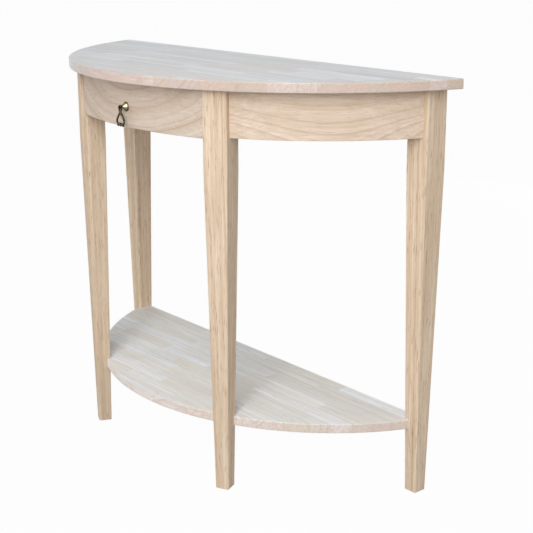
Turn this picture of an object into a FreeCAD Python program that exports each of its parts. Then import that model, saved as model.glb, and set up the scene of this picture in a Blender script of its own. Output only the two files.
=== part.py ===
import FreeCAD, Part
import math
import os

# Half-moon console table with one drawer and a low shelf.
# Millimetres, +Z up. The origin lies on the floor under the middle of the top's box. X runs along the
# straight back edge, and -Y points to the curved front, where the drawer opens.
# All arcs in plan share one centre.
# Pieces are worked out for the right half (+X), and the left ones are their mirror images.

V = FreeCAD.Vector
UP = V(0, 0, 1)

# Top
TABLE_HEIGHT = 762.0
TOP_RADIUS = 520.0
ARC_SETBACK = 147.0           # from the straight back edge to the arc centre behind it
TOP_THICKNESS = 17.5
TOP_ROUND = 1.6

# Legs
LEG_WIDTH = 46.2
FOOT_WIDTH = 26.0
TAPER_DROP = 60.0             # from the aprons' lower edge down to the start of the taper
LEG_ARRIS = 1.0
FOOT_BEVEL = 0.6
FRONT_LEG_ANGLE = 25.6        # degrees from the table's middle, seen from the arc centre
FRONT_LEG_REVEAL = 10.1       # front leg's face proud of the aprons
BACK_LEG_REVEAL = 9.1         # back leg's outer face beyond the side apron
BACK_LEG_INSET = 0.5          # back leg's face inside the top's straight edge

# Aprons
TOP_OVERHANG = 25.5           # top's curved edge beyond the aprons
APRON_HEIGHT = 83.0
APRON_THICKNESS = 20.0
APRON_EASE = 0.8
BACK_APRON_THICKNESS = 18.0
BACK_APRON_INSET = 3.0        # back apron's face inside the back legs' faces

# Front rails, runners and kickers
RAIL_THICKNESS = 18.0
RAIL_BEHIND_LEG = 9.7         # rail's straight back edge behind the front leg's inner back corner
RUNNER_LEDGE = 4.0            # ledge past the drawer side's inner face
RUNNER_WALL = 14.0
RUNNER_WALL_HEIGHT = 16.0
KICKER_WIDTH = 30.0

# Corner blocks
BLOCK_HEIGHT = 40.0
FRONT_BLOCK_LENGTH = 58.0
FRONT_BLOCK_STEP = 10.0       # block's inner face behind the front leg's back face
BACK_BLOCK_LENGTH = 50.0      # along the back apron
BACK_BLOCK_REACH = 45.0       # along the side apron, measured from the leg's front face

# Shelf
SHELF_HEIGHT = 140.0          # floor to the shelf's upper face
SHELF_THICKNESS = 17.5
SHELF_ROUND = 1.4
SHELF_BACK_INSET = 10.7       # shelf's straight edge inside the top's
SHELF_FRONT_HOUSING = 6.9     # depth let into the front legs
SHELF_END_HOUSING = 9.9       # depth let into the back legs

# Drawer
DRAWER_FRONT_THICKNESS = 20.0
DRAWER_FACE_RADIUS = 640.0    # bow of the drawer front, flatter than the aprons'
DRAWER_FACE_SETBACK = 5.3     # from the aprons' circle back to the middle of the drawer front's face
DRAWER_FRONT_ROUND = 1.2
DRAWER_TOP_GAP = 2.5
DRAWER_DROP = 3.3             # drawer front's lower edge below the aprons
DRAWER_END_GAP = 1.2
DRAWER_STOP_GAP = 0.5         # between the drawer front and the rails behind it
DRAWER_MARGIN = 8.0           # drawer side inside the front leg's inner back corner
DRAWER_SIDE_THICKNESS = 12.0
DRAWER_BACK_THICKNESS = 12.0
DRAWER_BOTTOM_THICKNESS = 4.0
DRAWER_BOTTOM_LIFT = 8.0
DRAWER_GROOVE = 5.0
DRAWER_RUN_GAP = 0.3
DRAWER_KICK_GAP = 1.5
DRAWER_GUIDE_GAP = 0.5
DRAWER_REAR_GAP = 15.0

# Pull
PULL_BELOW_MIDDLE = 4.0
PULL_BASE_RADIUS = 9.0
PULL_BASE_THICKNESS = 2.2
PULL_SHOULDER_RADIUS = 7.6    # base's radius where its rim turns into the flare
PULL_FLARE_RADIUS = 5.0       # base's radius half way up the flare
PULL_NECK_RADIUS = 2.9
PULL_NECK_SINK = 0.9          # how far the neck reaches into the eye's rim
PULL_REACH = 13.0             # drawer front's face to the eye's centre
PULL_EYE_RADIUS = 4.0
PULL_EYE_THICKNESS = 2.4
PULL_EYE_ROUND = 0.6
PIVOT_CLEARANCE = 0.1
RING_WIRE_RADIUS = 1.4
RING_PLAY = 1.1               # between the eye's flat sides and the inside of the drop's ring
DROP_NECK_RADIUS = 2.8
DROP_NECK_OVERLAP = 1.5       # how far the neck reaches up over the ring's wire
DROP_LENGTH = 33.3            # pivot to the drop's foot, without the lobes
DROP_WIDTH = 27.0
DROP_HIP_RADIUS = 8.0         # radius of the drop's two lower corners
DROP_STRAND = 3.8             # width of metal beside and below the hole
DROP_HOLE_START = 14.9        # pivot to the hole's upper end
DROP_HOLE_CROWN = 7.0         # radius of the hole's upper end
DROP_THICKNESS = 3.4
DROP_ROUND = 1.1
LOBE_RADIUS = 2.5
LOBE_SPACING = 7.5
LOBE_SINK = 0.3               # how far a lobe's centre lies above the foot
LOBE_COUNT = 3

# Fastenings
DOWEL_RADIUS = 4.0
DOWEL_LENGTH = 36.0
SHORT_DOWEL_LENGTH = 26.0
DRAWER_DOWEL_RADIUS = 3.0
DRAWER_DOWEL_LENGTH = 24.0
DRAWER_DOWEL_COVER = 3.0      # wood left between a dowel's end and the drawer side's outer face
DOWEL_MARGIN = 20.0           # from a joint's edge to the dowel's axis
DRAWER_DOWEL_MARGIN = 9.0
DOWEL_FIT = 0.05
DOWEL_END_GAP = 1.0
SCREW_RADIUS = 2.0
SCREW_LENGTH = 26.0
SCREW_GRIP = 11.0             # length of screw in the piece that it holds to
SCREW_POINT = 4.0
SCREW_HEAD_RADIUS = 4.0
SCREW_HEAD_HEIGHT = 2.4
SCREW_SLOT_WIDTH = 1.0
SCREW_SLOT_DEPTH = 1.2
SCREW_FIT = 0.05
SCREW_POCKET_FIT = 0.5
PULL_SCREW_GRIP = 7.0
GLUE_GAP = 0.15

# Heights and places that follow from the sizes above
TOP_UNDERSIDE = TABLE_HEIGHT - TOP_THICKNESS
APRON_BOTTOM = TOP_UNDERSIDE - APRON_HEIGHT
TAPER_TOP = APRON_BOTTOM - TAPER_DROP
BACK_EDGE = (TOP_RADIUS - ARC_SETBACK) / 2
ARC_Y = BACK_EDGE + ARC_SETBACK
APRON_RADIUS = TOP_RADIUS - TOP_OVERHANG
APRON_INNER_RADIUS = APRON_RADIUS - APRON_THICKNESS
FRONT_LEG_RADIUS = APRON_RADIUS + FRONT_LEG_REVEAL - LEG_WIDTH / 2
FRONT_LEG_BACK = FRONT_LEG_RADIUS - LEG_WIDTH / 2
BACK_LEG_Y = BACK_EDGE - BACK_LEG_INSET - LEG_WIDTH / 2
BACK_LEG_FRONT = BACK_LEG_Y - LEG_WIDTH / 2
BACK_APRON_BACK = BACK_LEG_Y + LEG_WIDTH / 2 - BACK_APRON_INSET
BACK_APRON_FRONT = BACK_APRON_BACK - BACK_APRON_THICKNESS
DRAWER_FACE_Y = ARC_Y - APRON_RADIUS + DRAWER_FACE_SETBACK
DRAWER_ARC_Y = DRAWER_FACE_Y + DRAWER_FACE_RADIUS
DRAWER_FRONT_INNER = DRAWER_FACE_RADIUS - DRAWER_FRONT_THICKNESS
RAIL_RADIUS = DRAWER_FRONT_INNER - DRAWER_STOP_GAP
LOWER_RAIL_TOP = APRON_BOTTOM + RAIL_THICKNESS
UPPER_RAIL_BOTTOM = TOP_UNDERSIDE - RAIL_THICKNESS
SHELF_BACK = BACK_EDGE - SHELF_BACK_INSET
SHELF_BOTTOM = SHELF_HEIGHT - SHELF_THICKNESS
DRAWER_BOX_BOTTOM = LOWER_RAIL_TOP + DRAWER_RUN_GAP
DRAWER_BOX_TOP = UPPER_RAIL_BOTTOM - DRAWER_KICK_GAP
DRAWER_BOX_BACK = BACK_APRON_FRONT - DRAWER_REAR_GAP
DRAWER_BOX_INNER_BACK = DRAWER_BOX_BACK - DRAWER_BACK_THICKNESS
DRAWER_FRONT_BOTTOM = APRON_BOTTOM - DRAWER_DROP
DRAWER_FRONT_TOP = TOP_UNDERSIDE - DRAWER_TOP_GAP
PULL_Z = (DRAWER_FRONT_BOTTOM + DRAWER_FRONT_TOP) / 2 - PULL_BELOW_MIDDLE
RING_INNER_RADIUS = PULL_EYE_THICKNESS / 2 + RING_PLAY
RING_RADIUS = RING_INNER_RADIUS + RING_WIRE_RADIUS
DROP_NECK_Z = DROP_NECK_OVERLAP - 2 * RING_RADIUS - DROP_NECK_RADIUS
DROP_HIP_X = DROP_WIDTH / 2 - DROP_HIP_RADIUS
DROP_HIP_Z = DROP_HIP_RADIUS - DROP_LENGTH


# Plan geometry

def arc_half_width(radius, y):
    """Half the width of the circle of this radius about the arc centre, on the line at y."""
    return math.sqrt(radius ** 2 - (ARC_Y - y) ** 2)


def arc_front(radius, x, centre=ARC_Y):
    """The y of the front of a circle about a centre on the Y axis, at this x."""
    return centre - math.sqrt(radius ** 2 - x ** 2)


def beside_leg(along, across):
    """Plan point (x, y) from distances along and across the right front leg's radial axis."""
    turn = math.radians(FRONT_LEG_ANGLE)
    x = along * math.sin(turn) + across * math.cos(turn)
    y = ARC_Y - along * math.cos(turn) + across * math.sin(turn)
    return x, y


def on_circle_beside_leg(radius, across, centre=ARC_Y):
    """Plan point of a circle about a centre on the Y axis, at this distance across the leg's axis."""
    start = V(*beside_leg(0, across), 0) - V(0, centre, 0)
    lean = start.dot(LEG_OUTWARD)
    return beside_leg(math.sqrt(lean ** 2 - start.Length ** 2 + radius ** 2) - lean, across)


LEG_OUTWARD = V(*beside_leg(1, 0), 0) - V(*beside_leg(0, 0), 0)
LEG_SIDEWAYS = V(*beside_leg(0, 1), 0) - V(*beside_leg(0, 0), 0)
LEG_SIDE = LEG_WIDTH / 2
LEG_INNER_CORNER = beside_leg(FRONT_LEG_BACK, -LEG_SIDE)
RAIL_BACK = LEG_INNER_CORNER[1] + RAIL_BEHIND_LEG
DRAWER_BOX_HALF = LEG_INNER_CORNER[0] - DRAWER_MARGIN
DRAWER_BOX_INNER = DRAWER_BOX_HALF - DRAWER_SIDE_THICKNESS
BACK_LEG_X = arc_half_width(APRON_RADIUS, BACK_LEG_FRONT) + BACK_LEG_REVEAL - LEG_SIDE
BACK_LEG_INNER = BACK_LEG_X - LEG_SIDE


def leg_half_width(z):
    """Half the leg's width at a height on its taper."""
    foot = FOOT_WIDTH / 2
    return foot + (LEG_SIDE - foot) * z / TAPER_TOP


SHELF_RADIUS = FRONT_LEG_RADIUS - leg_half_width(SHELF_HEIGHT) + SHELF_FRONT_HOUSING
SHELF_END = BACK_LEG_X - leg_half_width(SHELF_HEIGHT) + SHELF_END_HOUSING


# Solids

def straight(start, end):
    """Straight edge between two plan points."""
    return Part.LineSegment(V(*start, 0), V(*end, 0)).toShape()


def bowed(radius, start, end, centre=ARC_Y):
    """Edge of the circle about a centre on the Y axis between two plan points on it."""
    first = math.atan2(start[0], centre - start[1])
    last = math.atan2(end[0], centre - end[1])
    middle = (first + last) / 2
    through = V(radius * math.sin(middle), centre - radius * math.cos(middle), 0)
    return Part.Arc(V(*start, 0), through, V(*end, 0)).toShape()


def prism(edges, bottom, top):
    """Solid with this closed outline in plan, between two heights."""
    face = Part.Face(Part.Wire(edges))
    face.translate(UP * bottom)
    return face.extrude(UP * (top - bottom))


def block(low, high):
    """Box between two corners."""
    size = V(*high) - V(*low)
    return Part.makeBox(size.x, size.y, size.z, V(*low))


def as_solid(shape):
    """The one solid inside a boolean's result, or all of them together."""
    solids = shape.Solids
    return solids[0] if len(solids) == 1 else Part.makeCompound(solids)


def mirrored(shape):
    """The same piece on the left half of the table."""
    return shape.mirror(V(0, 0, 0), V(1, 0, 0))


def both_sides(shapes):
    """These shapes and their mirror images, as a list."""
    return list(shapes) + [mirrored(shape) for shape in shapes]


def rounded(solid, radius, wanted):
    """The solid with its edges rounded where the test holds."""
    return solid.makeFillet(radius, [edge for edge in solid.Edges if wanted(edge)])


def lies_at(edge, height):
    """Whether an edge lies wholly at this height."""
    box = edge.BoundBox
    return abs(box.ZMin - height) < GLUE_GAP and abs(box.ZMax - height) < GLUE_GAP


# Fastenings: each gives the piece itself and the hole that it needs

def dowel(start, direction, length=DOWEL_LENGTH, radius=DOWEL_RADIUS):
    """Round dowel from a point along a direction, with its hole."""
    pin = Part.makeCylinder(radius, length, start, direction)
    hole_start = start - direction * DOWEL_END_GAP
    hole = Part.makeCylinder(radius + DOWEL_FIT, length + 2 * DOWEL_END_GAP, hole_start, direction)
    return pin, hole


def dowel_across(joint, direction, length=DOWEL_LENGTH, radius=DOWEL_RADIUS):
    """Dowel whose middle lies at a point of the joint's face."""
    return dowel(joint - direction * (length / 2), direction, length, radius)


def screw(seat, direction, length=SCREW_LENGTH, pocket=0.0):
    """Slotted screw with the underside of its head at seat, its hole and a pocket behind the head."""
    plain = length - SCREW_POINT
    shank = Part.makeCylinder(SCREW_RADIUS, plain, seat, direction)
    point = Part.makeCone(SCREW_RADIUS, SCREW_RADIUS / 4, SCREW_POINT, seat + direction * plain, direction)
    head = Part.makeCylinder(SCREW_HEAD_RADIUS, SCREW_HEAD_HEIGHT, seat, direction * -1)
    slot = Part.makeBox(2 * SCREW_HEAD_RADIUS, SCREW_SLOT_WIDTH, SCREW_SLOT_DEPTH,
                        V(-SCREW_HEAD_RADIUS, -SCREW_SLOT_WIDTH / 2, SCREW_HEAD_HEIGHT - SCREW_SLOT_DEPTH))
    slot.Placement = FreeCAD.Placement(seat, FreeCAD.Rotation(UP, direction * -1))
    body = shank.fuse([point, head]).removeSplitter().cut(slot)
    hole = Part.makeCylinder(SCREW_RADIUS + SCREW_FIT, length + DOWEL_END_GAP, seat, direction)
    if pocket > 0:
        way_in = Part.makeCylinder(SCREW_HEAD_RADIUS + SCREW_POCKET_FIT, pocket, seat, direction * -1)
        hole = hole.fuse(way_in)
    return as_solid(body), hole


def pair_heights(bottom, top, margin):
    """Heights of the upper and lower fastening in a joint."""
    return bottom + margin, top - margin


def apron_dowels():
    """Dowels of the right side apron and the back apron, at both ends of each."""
    made = {"front": [], "side_back": [], "back": []}
    outer = math.sqrt(APRON_RADIUS ** 2 - (LEG_SIDE + DOWEL_LENGTH / 2) ** 2)
    inner = math.sqrt(APRON_INNER_RADIUS ** 2 - LEG_SIDE ** 2)
    front = beside_leg((outer + inner) / 2, LEG_SIDE)
    reach = BACK_LEG_FRONT - DOWEL_LENGTH / 2
    back_x = (arc_half_width(APRON_INNER_RADIUS, BACK_LEG_FRONT) + arc_half_width(APRON_RADIUS, reach)) / 2
    back_y = (BACK_APRON_FRONT + BACK_APRON_BACK) / 2
    for z in pair_heights(APRON_BOTTOM, TOP_UNDERSIDE, DOWEL_MARGIN):
        made["front"].append(dowel_across(V(*front, z), LEG_SIDEWAYS))
        made["side_back"].append(dowel_across(V(back_x, BACK_LEG_FRONT, z), V(0, 1, 0)))
        made["back"].append(dowel_across(V(BACK_LEG_INNER, back_y, z), V(1, 0, 0)))
    return made


def rail_dowels():
    """Dowels of the upper and lower front rail in the right front leg."""
    rail_front = V(*on_circle_beside_leg(RAIL_RADIUS, -LEG_SIDE, DRAWER_ARC_Y), 0)
    joint = (V(*LEG_INNER_CORNER, 0) + rail_front) * 0.5
    upper = dowel_across(joint + UP * (UPPER_RAIL_BOTTOM + RAIL_THICKNESS / 2), LEG_SIDEWAYS)
    lower = dowel_across(joint + UP * (APRON_BOTTOM + RAIL_THICKNESS / 2), LEG_SIDEWAYS)
    return upper, lower


def runner_dowels():
    """Dowels of the right runner: into the lower rail in front and the back apron behind."""
    x = DRAWER_BOX_INNER + DRAWER_SIDE_THICKNESS / 2
    z = APRON_BOTTOM + RAIL_THICKNESS / 2
    front = dowel_across(V(x, RAIL_BACK, z), V(0, 1, 0), SHORT_DOWEL_LENGTH)
    back = dowel_across(V(x, BACK_APRON_FRONT, z), V(0, 1, 0), SHORT_DOWEL_LENGTH)
    return front, back


def shelf_dowels():
    """Dowels of the shelf in the right front and back leg."""
    z = SHELF_HEIGHT - SHELF_THICKNESS / 2
    front = dowel_across(V(*beside_leg(SHELF_RADIUS, 0), z), LEG_OUTWARD, SHORT_DOWEL_LENGTH)
    back = dowel_across(V(SHELF_END, BACK_LEG_Y, z), V(1, 0, 0), SHORT_DOWEL_LENGTH)
    return front, back


def top_screws():
    """Screws up into the top: through the right corner blocks and the right kicker."""
    seat_z = TOP_UNDERSIDE + SCREW_GRIP - SCREW_LENGTH
    front_along = (FRONT_LEG_BACK + APRON_INNER_RADIUS) / 2 - FRONT_BLOCK_STEP / 2
    front = beside_leg(front_along, LEG_SIDE + FRONT_BLOCK_LENGTH / 3)
    back = (BACK_LEG_INNER - BACK_BLOCK_LENGTH / 3, BACK_LEG_FRONT)
    kicker_x = kicker_inner() + KICKER_WIDTH / 2
    kicker_run = BACK_APRON_FRONT - RAIL_BACK
    return {
        "front_block": [screw(V(*front, seat_z), UP, pocket=BLOCK_HEIGHT)],
        "back_block": [screw(V(*back, seat_z), UP, pocket=BLOCK_HEIGHT)],
        "kicker": [screw(V(kicker_x, RAIL_BACK + share * kicker_run, seat_z), UP, pocket=RAIL_THICKNESS)
                   for share in (1 / 6, 5 / 6)],
    }


def block_screws():
    """Screws through the right corner blocks into the aprons behind them."""
    z = TOP_UNDERSIDE - BLOCK_HEIGHT / 4 * 3
    across = LEG_SIDE + FRONT_BLOCK_LENGTH * 3 / 4
    apron_face = math.sqrt(APRON_INNER_RADIUS ** 2 - across ** 2)
    front_seat = V(*beside_leg(apron_face + SCREW_GRIP - SCREW_LENGTH, across), z)
    front = screw(front_seat, LEG_OUTWARD, pocket=BLOCK_HEIGHT)
    back_seat = V(BACK_LEG_INNER - BACK_BLOCK_LENGTH / 2, BACK_APRON_FRONT + SCREW_GRIP - SCREW_LENGTH, z)
    back = screw(back_seat, V(0, 1, 0), pocket=BLOCK_HEIGHT)
    return front, back


# Top and shelf

def top_panel(holes):
    """Half-moon top with softened edges and blind screw holes underneath."""
    end = arc_half_width(TOP_RADIUS, BACK_EDGE)
    left, right = (-end, BACK_EDGE), (end, BACK_EDGE)
    panel = prism([bowed(TOP_RADIUS, left, right), straight(right, left)], TOP_UNDERSIDE, TABLE_HEIGHT)
    panel = rounded(panel, TOP_ROUND, lambda edge: True)
    return as_solid(panel.cut(holes))


def shelf_outline(grow):
    """Edges of the shelf's plan, grown outwards by a clearance."""
    radius, end, back = SHELF_RADIUS + grow, SHELF_END + grow, SHELF_BACK + grow
    corner = arc_front(radius, end)
    points = [(-end, corner), (end, corner), (end, back), (-end, back)]
    return [bowed(radius, points[0], points[1]), straight(points[1], points[2]),
            straight(points[2], points[3]), straight(points[3], points[0])]


def shelf_panel(holes):
    """Half-moon shelf with straight ends that are housed in the back legs."""
    panel = prism(shelf_outline(0), SHELF_BOTTOM, SHELF_HEIGHT)
    panel = rounded(panel, SHELF_ROUND,
                    lambda edge: lies_at(edge, SHELF_HEIGHT) or lies_at(edge, SHELF_BOTTOM))
    return as_solid(panel.cut(holes))


def shelf_housing():
    """Space that the shelf takes up in the legs."""
    return prism(shelf_outline(GLUE_GAP), SHELF_BOTTOM - GLUE_GAP, SHELF_HEIGHT + GLUE_GAP)


# Legs

def leg_section(half, z):
    """Square outline with its corners cut off by the arris, at a height."""
    near = half - LEG_ARRIS
    corners = [(near, half), (half, near), (half, -near), (near, -half),
               (-near, -half), (-half, -near), (-half, near), (-near, half)]
    points = [V(x, y, z) for x, y in corners]
    return Part.makePolygon(points + points[:1])


def tapered_leg():
    """Leg about its own axis: bevelled foot, four-sided taper, then square up to the top."""
    sections = [leg_section(FOOT_WIDTH / 2 - FOOT_BEVEL, 0),
                leg_section(leg_half_width(FOOT_BEVEL), FOOT_BEVEL),
                leg_section(LEG_SIDE, TAPER_TOP),
                leg_section(LEG_SIDE, TOP_UNDERSIDE)]
    return Part.makeLoft(sections, True, True)


def front_leg(holes):
    """Right front leg, turned to face out from the arc centre."""
    leg = tapered_leg()
    leg.rotate(V(0, 0, 0), UP, FRONT_LEG_ANGLE)
    leg.translate(V(*beside_leg(FRONT_LEG_RADIUS, 0), 0))
    return as_solid(leg.cut([shelf_housing()] + holes))


def back_leg(holes):
    """Right back leg, square to the back edge."""
    leg = tapered_leg()
    leg.translate(V(BACK_LEG_X, BACK_LEG_Y, 0))
    return as_solid(leg.cut([shelf_housing()] + holes))


# Aprons, rails, runners, kickers and corner blocks

def apron_section():
    """Side apron's section at the table's middle, with its two lower edges bevelled."""
    inner, outer = ARC_Y - APRON_INNER_RADIUS, ARC_Y - APRON_RADIUS
    shoulder = APRON_BOTTOM + APRON_EASE
    corners = [V(0, inner, shoulder), V(0, inner, TOP_UNDERSIDE), V(0, outer, TOP_UNDERSIDE),
               V(0, outer, shoulder), V(0, outer + APRON_EASE, APRON_BOTTOM),
               V(0, inner - APRON_EASE, APRON_BOTTOM)]
    return Part.Face(Part.makePolygon(corners + corners[:1]))


def side_apron(holes):
    """Right side apron, bowed from the front leg's side to the back leg's front."""
    centre = V(0, ARC_Y, 0)
    section = apron_section()
    section.rotate(centre, UP, FRONT_LEG_ANGLE)
    last_angle = math.degrees(math.acos((ARC_Y - BACK_LEG_Y) / APRON_RADIUS))
    apron = section.revolve(centre, UP, last_angle - FRONT_LEG_ANGLE)
    near, far = APRON_INNER_RADIUS - LEG_WIDTH, APRON_RADIUS + LEG_WIDTH
    corners = [beside_leg(near, -LEG_SIDE), beside_leg(far, -LEG_SIDE), beside_leg(far, LEG_SIDE),
               beside_leg(near, LEG_SIDE)]
    edges = [straight(corners[at - 1], corners[at]) for at in range(len(corners))]
    front_leg_side = prism(edges, 0, TABLE_HEIGHT)
    back_leg_side = block((0, BACK_LEG_FRONT, 0), (TOP_RADIUS, ARC_Y, TABLE_HEIGHT))
    return as_solid(apron.cut([front_leg_side, back_leg_side] + holes))


def back_apron(holes):
    """Straight apron between the back legs."""
    apron = block((-BACK_LEG_INNER, BACK_APRON_FRONT, APRON_BOTTOM),
                  (BACK_LEG_INNER, BACK_APRON_BACK, TOP_UNDERSIDE))
    apron = rounded(apron, APRON_EASE,
                    lambda edge: lies_at(edge, APRON_BOTTOM) and edge.BoundBox.XLength > LEG_WIDTH)
    return as_solid(apron.cut(holes))


def front_rail(bottom, holes):
    """Flat rail between the front legs, bowed along its front edge."""
    right = on_circle_beside_leg(RAIL_RADIUS, -LEG_SIDE, DRAWER_ARC_Y)
    inward = (RAIL_BACK - right[1]) / LEG_OUTWARD.y
    right_back = (right[0] + inward * LEG_OUTWARD.x, RAIL_BACK)
    left, left_back = (-right[0], right[1]), (-right_back[0], RAIL_BACK)
    edges = [bowed(RAIL_RADIUS, left, right, DRAWER_ARC_Y), straight(right, right_back),
             straight(right_back, left_back), straight(left_back, left)]
    return as_solid(prism(edges, bottom, bottom + RAIL_THICKNESS).cut(holes))


def drawer_runner(holes):
    """Right runner: a ledge under the drawer side and a wall that guides it."""
    wall = DRAWER_BOX_HALF + DRAWER_GUIDE_GAP
    ledge = block((DRAWER_BOX_INNER - RUNNER_LEDGE, RAIL_BACK, APRON_BOTTOM),
                  (wall + RUNNER_WALL, BACK_APRON_FRONT, LOWER_RAIL_TOP))
    guide = block((wall, RAIL_BACK, LOWER_RAIL_TOP),
                  (wall + RUNNER_WALL, BACK_APRON_FRONT, LOWER_RAIL_TOP + RUNNER_WALL_HEIGHT))
    return as_solid(ledge.fuse(guide).removeSplitter().cut(holes))


def kicker_inner():
    """The x of the right kicker's inner face: it lies centrally over the drawer side."""
    return DRAWER_BOX_HALF - DRAWER_SIDE_THICKNESS / 2 - KICKER_WIDTH / 2


def drawer_kicker(holes):
    """Right kicker, a strip under the top that keeps the open drawer from tipping."""
    strip = block((kicker_inner(), RAIL_BACK, UPPER_RAIL_BOTTOM),
                  (kicker_inner() + KICKER_WIDTH, BACK_APRON_FRONT, TOP_UNDERSIDE))
    return as_solid(strip.cut(holes))


def front_corner_block(holes):
    """Right front block, in the corner of the leg's side and the side apron's inner face."""
    radius = APRON_INNER_RADIUS - GLUE_GAP
    near, far = LEG_SIDE + GLUE_GAP, LEG_SIDE + FRONT_BLOCK_LENGTH
    inner = FRONT_LEG_BACK - FRONT_BLOCK_STEP
    points = [on_circle_beside_leg(radius, near), on_circle_beside_leg(radius, far),
              beside_leg(inner, far), beside_leg(inner, near)]
    edges = [bowed(radius, points[0], points[1]), straight(points[1], points[2]),
             straight(points[2], points[3]), straight(points[3], points[0])]
    return as_solid(prism(edges, TOP_UNDERSIDE - BLOCK_HEIGHT, TOP_UNDERSIDE).cut(holes))


def back_corner_block(holes):
    """Right back block, notched round the leg's corner between the side and back aprons."""
    radius = APRON_INNER_RADIUS - GLUE_GAP
    back, front = BACK_APRON_FRONT - GLUE_GAP, BACK_LEG_FRONT - GLUE_GAP
    side = BACK_LEG_INNER - GLUE_GAP
    reach = BACK_LEG_FRONT - BACK_BLOCK_REACH
    far = (arc_half_width(radius, reach), reach)
    near = (arc_half_width(radius, front), front)
    points = [near, (side, front), (side, back), (BACK_LEG_INNER - BACK_BLOCK_LENGTH, back), far]
    edges = [straight(start, end) for start, end in zip(points, points[1:])]
    edges.append(bowed(radius, far, near))
    return as_solid(prism(edges, TOP_UNDERSIDE - BLOCK_HEIGHT, TOP_UNDERSIDE).cut(holes))


# Drawer

def drawer_front(holes):
    """Bowed drawer front between the front legs."""
    across = -LEG_SIDE - DRAWER_END_GAP
    outer = on_circle_beside_leg(DRAWER_FACE_RADIUS, across, DRAWER_ARC_Y)
    inner = on_circle_beside_leg(DRAWER_FRONT_INNER, across, DRAWER_ARC_Y)
    outer_left, inner_left = (-outer[0], outer[1]), (-inner[0], inner[1])
    edges = [bowed(DRAWER_FACE_RADIUS, outer_left, outer, DRAWER_ARC_Y), straight(outer, inner),
             bowed(DRAWER_FRONT_INNER, inner, inner_left, DRAWER_ARC_Y), straight(inner_left, outer_left)]
    front = prism(edges, DRAWER_FRONT_BOTTOM, DRAWER_FRONT_TOP)
    face = max(front.Faces, key=lambda side: side.Surface.Radius if hasattr(side.Surface, "Radius") else 0)
    front = front.makeFillet(DRAWER_FRONT_ROUND, face.Edges)
    return as_solid(front.cut(holes))


def drawer_side(holes):
    """Right drawer side, its front end shaped to the back of the drawer front."""
    board = block((DRAWER_BOX_INNER, DRAWER_FACE_Y, DRAWER_BOX_BOTTOM),
                  (DRAWER_BOX_HALF, DRAWER_BOX_BACK, DRAWER_BOX_TOP))
    inside = Part.makeCylinder(DRAWER_FRONT_INNER - GLUE_GAP, DRAWER_BOX_TOP, V(0, DRAWER_ARC_Y, 0))
    return as_solid(board.common(inside).cut(holes))


def drawer_back(holes):
    """Drawer back between the two sides."""
    board = block((-DRAWER_BOX_INNER, DRAWER_BOX_INNER_BACK, DRAWER_BOX_BOTTOM),
                  (DRAWER_BOX_INNER, DRAWER_BOX_BACK, DRAWER_BOX_TOP))
    return as_solid(board.cut(holes))


def drawer_bottom(grow):
    """Thin bottom in the grooves of the drawer, or with a clearance the grooves themselves."""
    depth = DRAWER_GROOVE - GLUE_GAP + grow
    radius, end, back = DRAWER_FRONT_INNER + depth, DRAWER_BOX_INNER + depth, DRAWER_BOX_INNER_BACK + depth
    corner = arc_front(radius, end, DRAWER_ARC_Y)
    front = bowed(radius, (-end, corner), (end, corner), DRAWER_ARC_Y)
    edges = [front, straight((end, corner), (end, back)), straight((end, back), (-end, back)),
             straight((-end, back), (-end, corner))]
    bottom = DRAWER_BOX_BOTTOM + DRAWER_BOTTOM_LIFT
    return prism(edges, bottom - grow, bottom + DRAWER_BOTTOM_THICKNESS + grow)


def drawer_dowels():
    """Dowels of the right drawer side: into the drawer front and, across the corner, into the back."""
    made = {"front": [], "back": []}
    middle = DRAWER_BOX_INNER + DRAWER_SIDE_THICKNESS / 2
    front_y = arc_front(DRAWER_FRONT_INNER, middle, DRAWER_ARC_Y)
    back_y = (DRAWER_BOX_INNER_BACK + DRAWER_BOX_BACK) / 2
    outer_end = DRAWER_BOX_HALF - DRAWER_DOWEL_COVER
    floor = DRAWER_BOX_BOTTOM + DRAWER_BOTTOM_LIFT + DRAWER_BOTTOM_THICKNESS
    for z in pair_heights(floor, DRAWER_BOX_TOP, DRAWER_DOWEL_MARGIN):
        front, back = V(middle, front_y, z), V(outer_end, back_y, z)
        made["front"].append(dowel_across(front, V(0, 1, 0), DRAWER_DOWEL_LENGTH, DRAWER_DOWEL_RADIUS))
        made["back"].append(dowel(back, V(-1, 0, 0), DRAWER_DOWEL_LENGTH, DRAWER_DOWEL_RADIUS))
    return made


# Pull

def eye_bore():
    """Radius of the eye's bore, which clears the curved wire of the drop's ring as it swings."""
    clear = math.sqrt(RING_INNER_RADIUS ** 2 - (PULL_EYE_THICKNESS / 2) ** 2)
    return RING_RADIUS - clear + PIVOT_CLEARANCE


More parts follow.
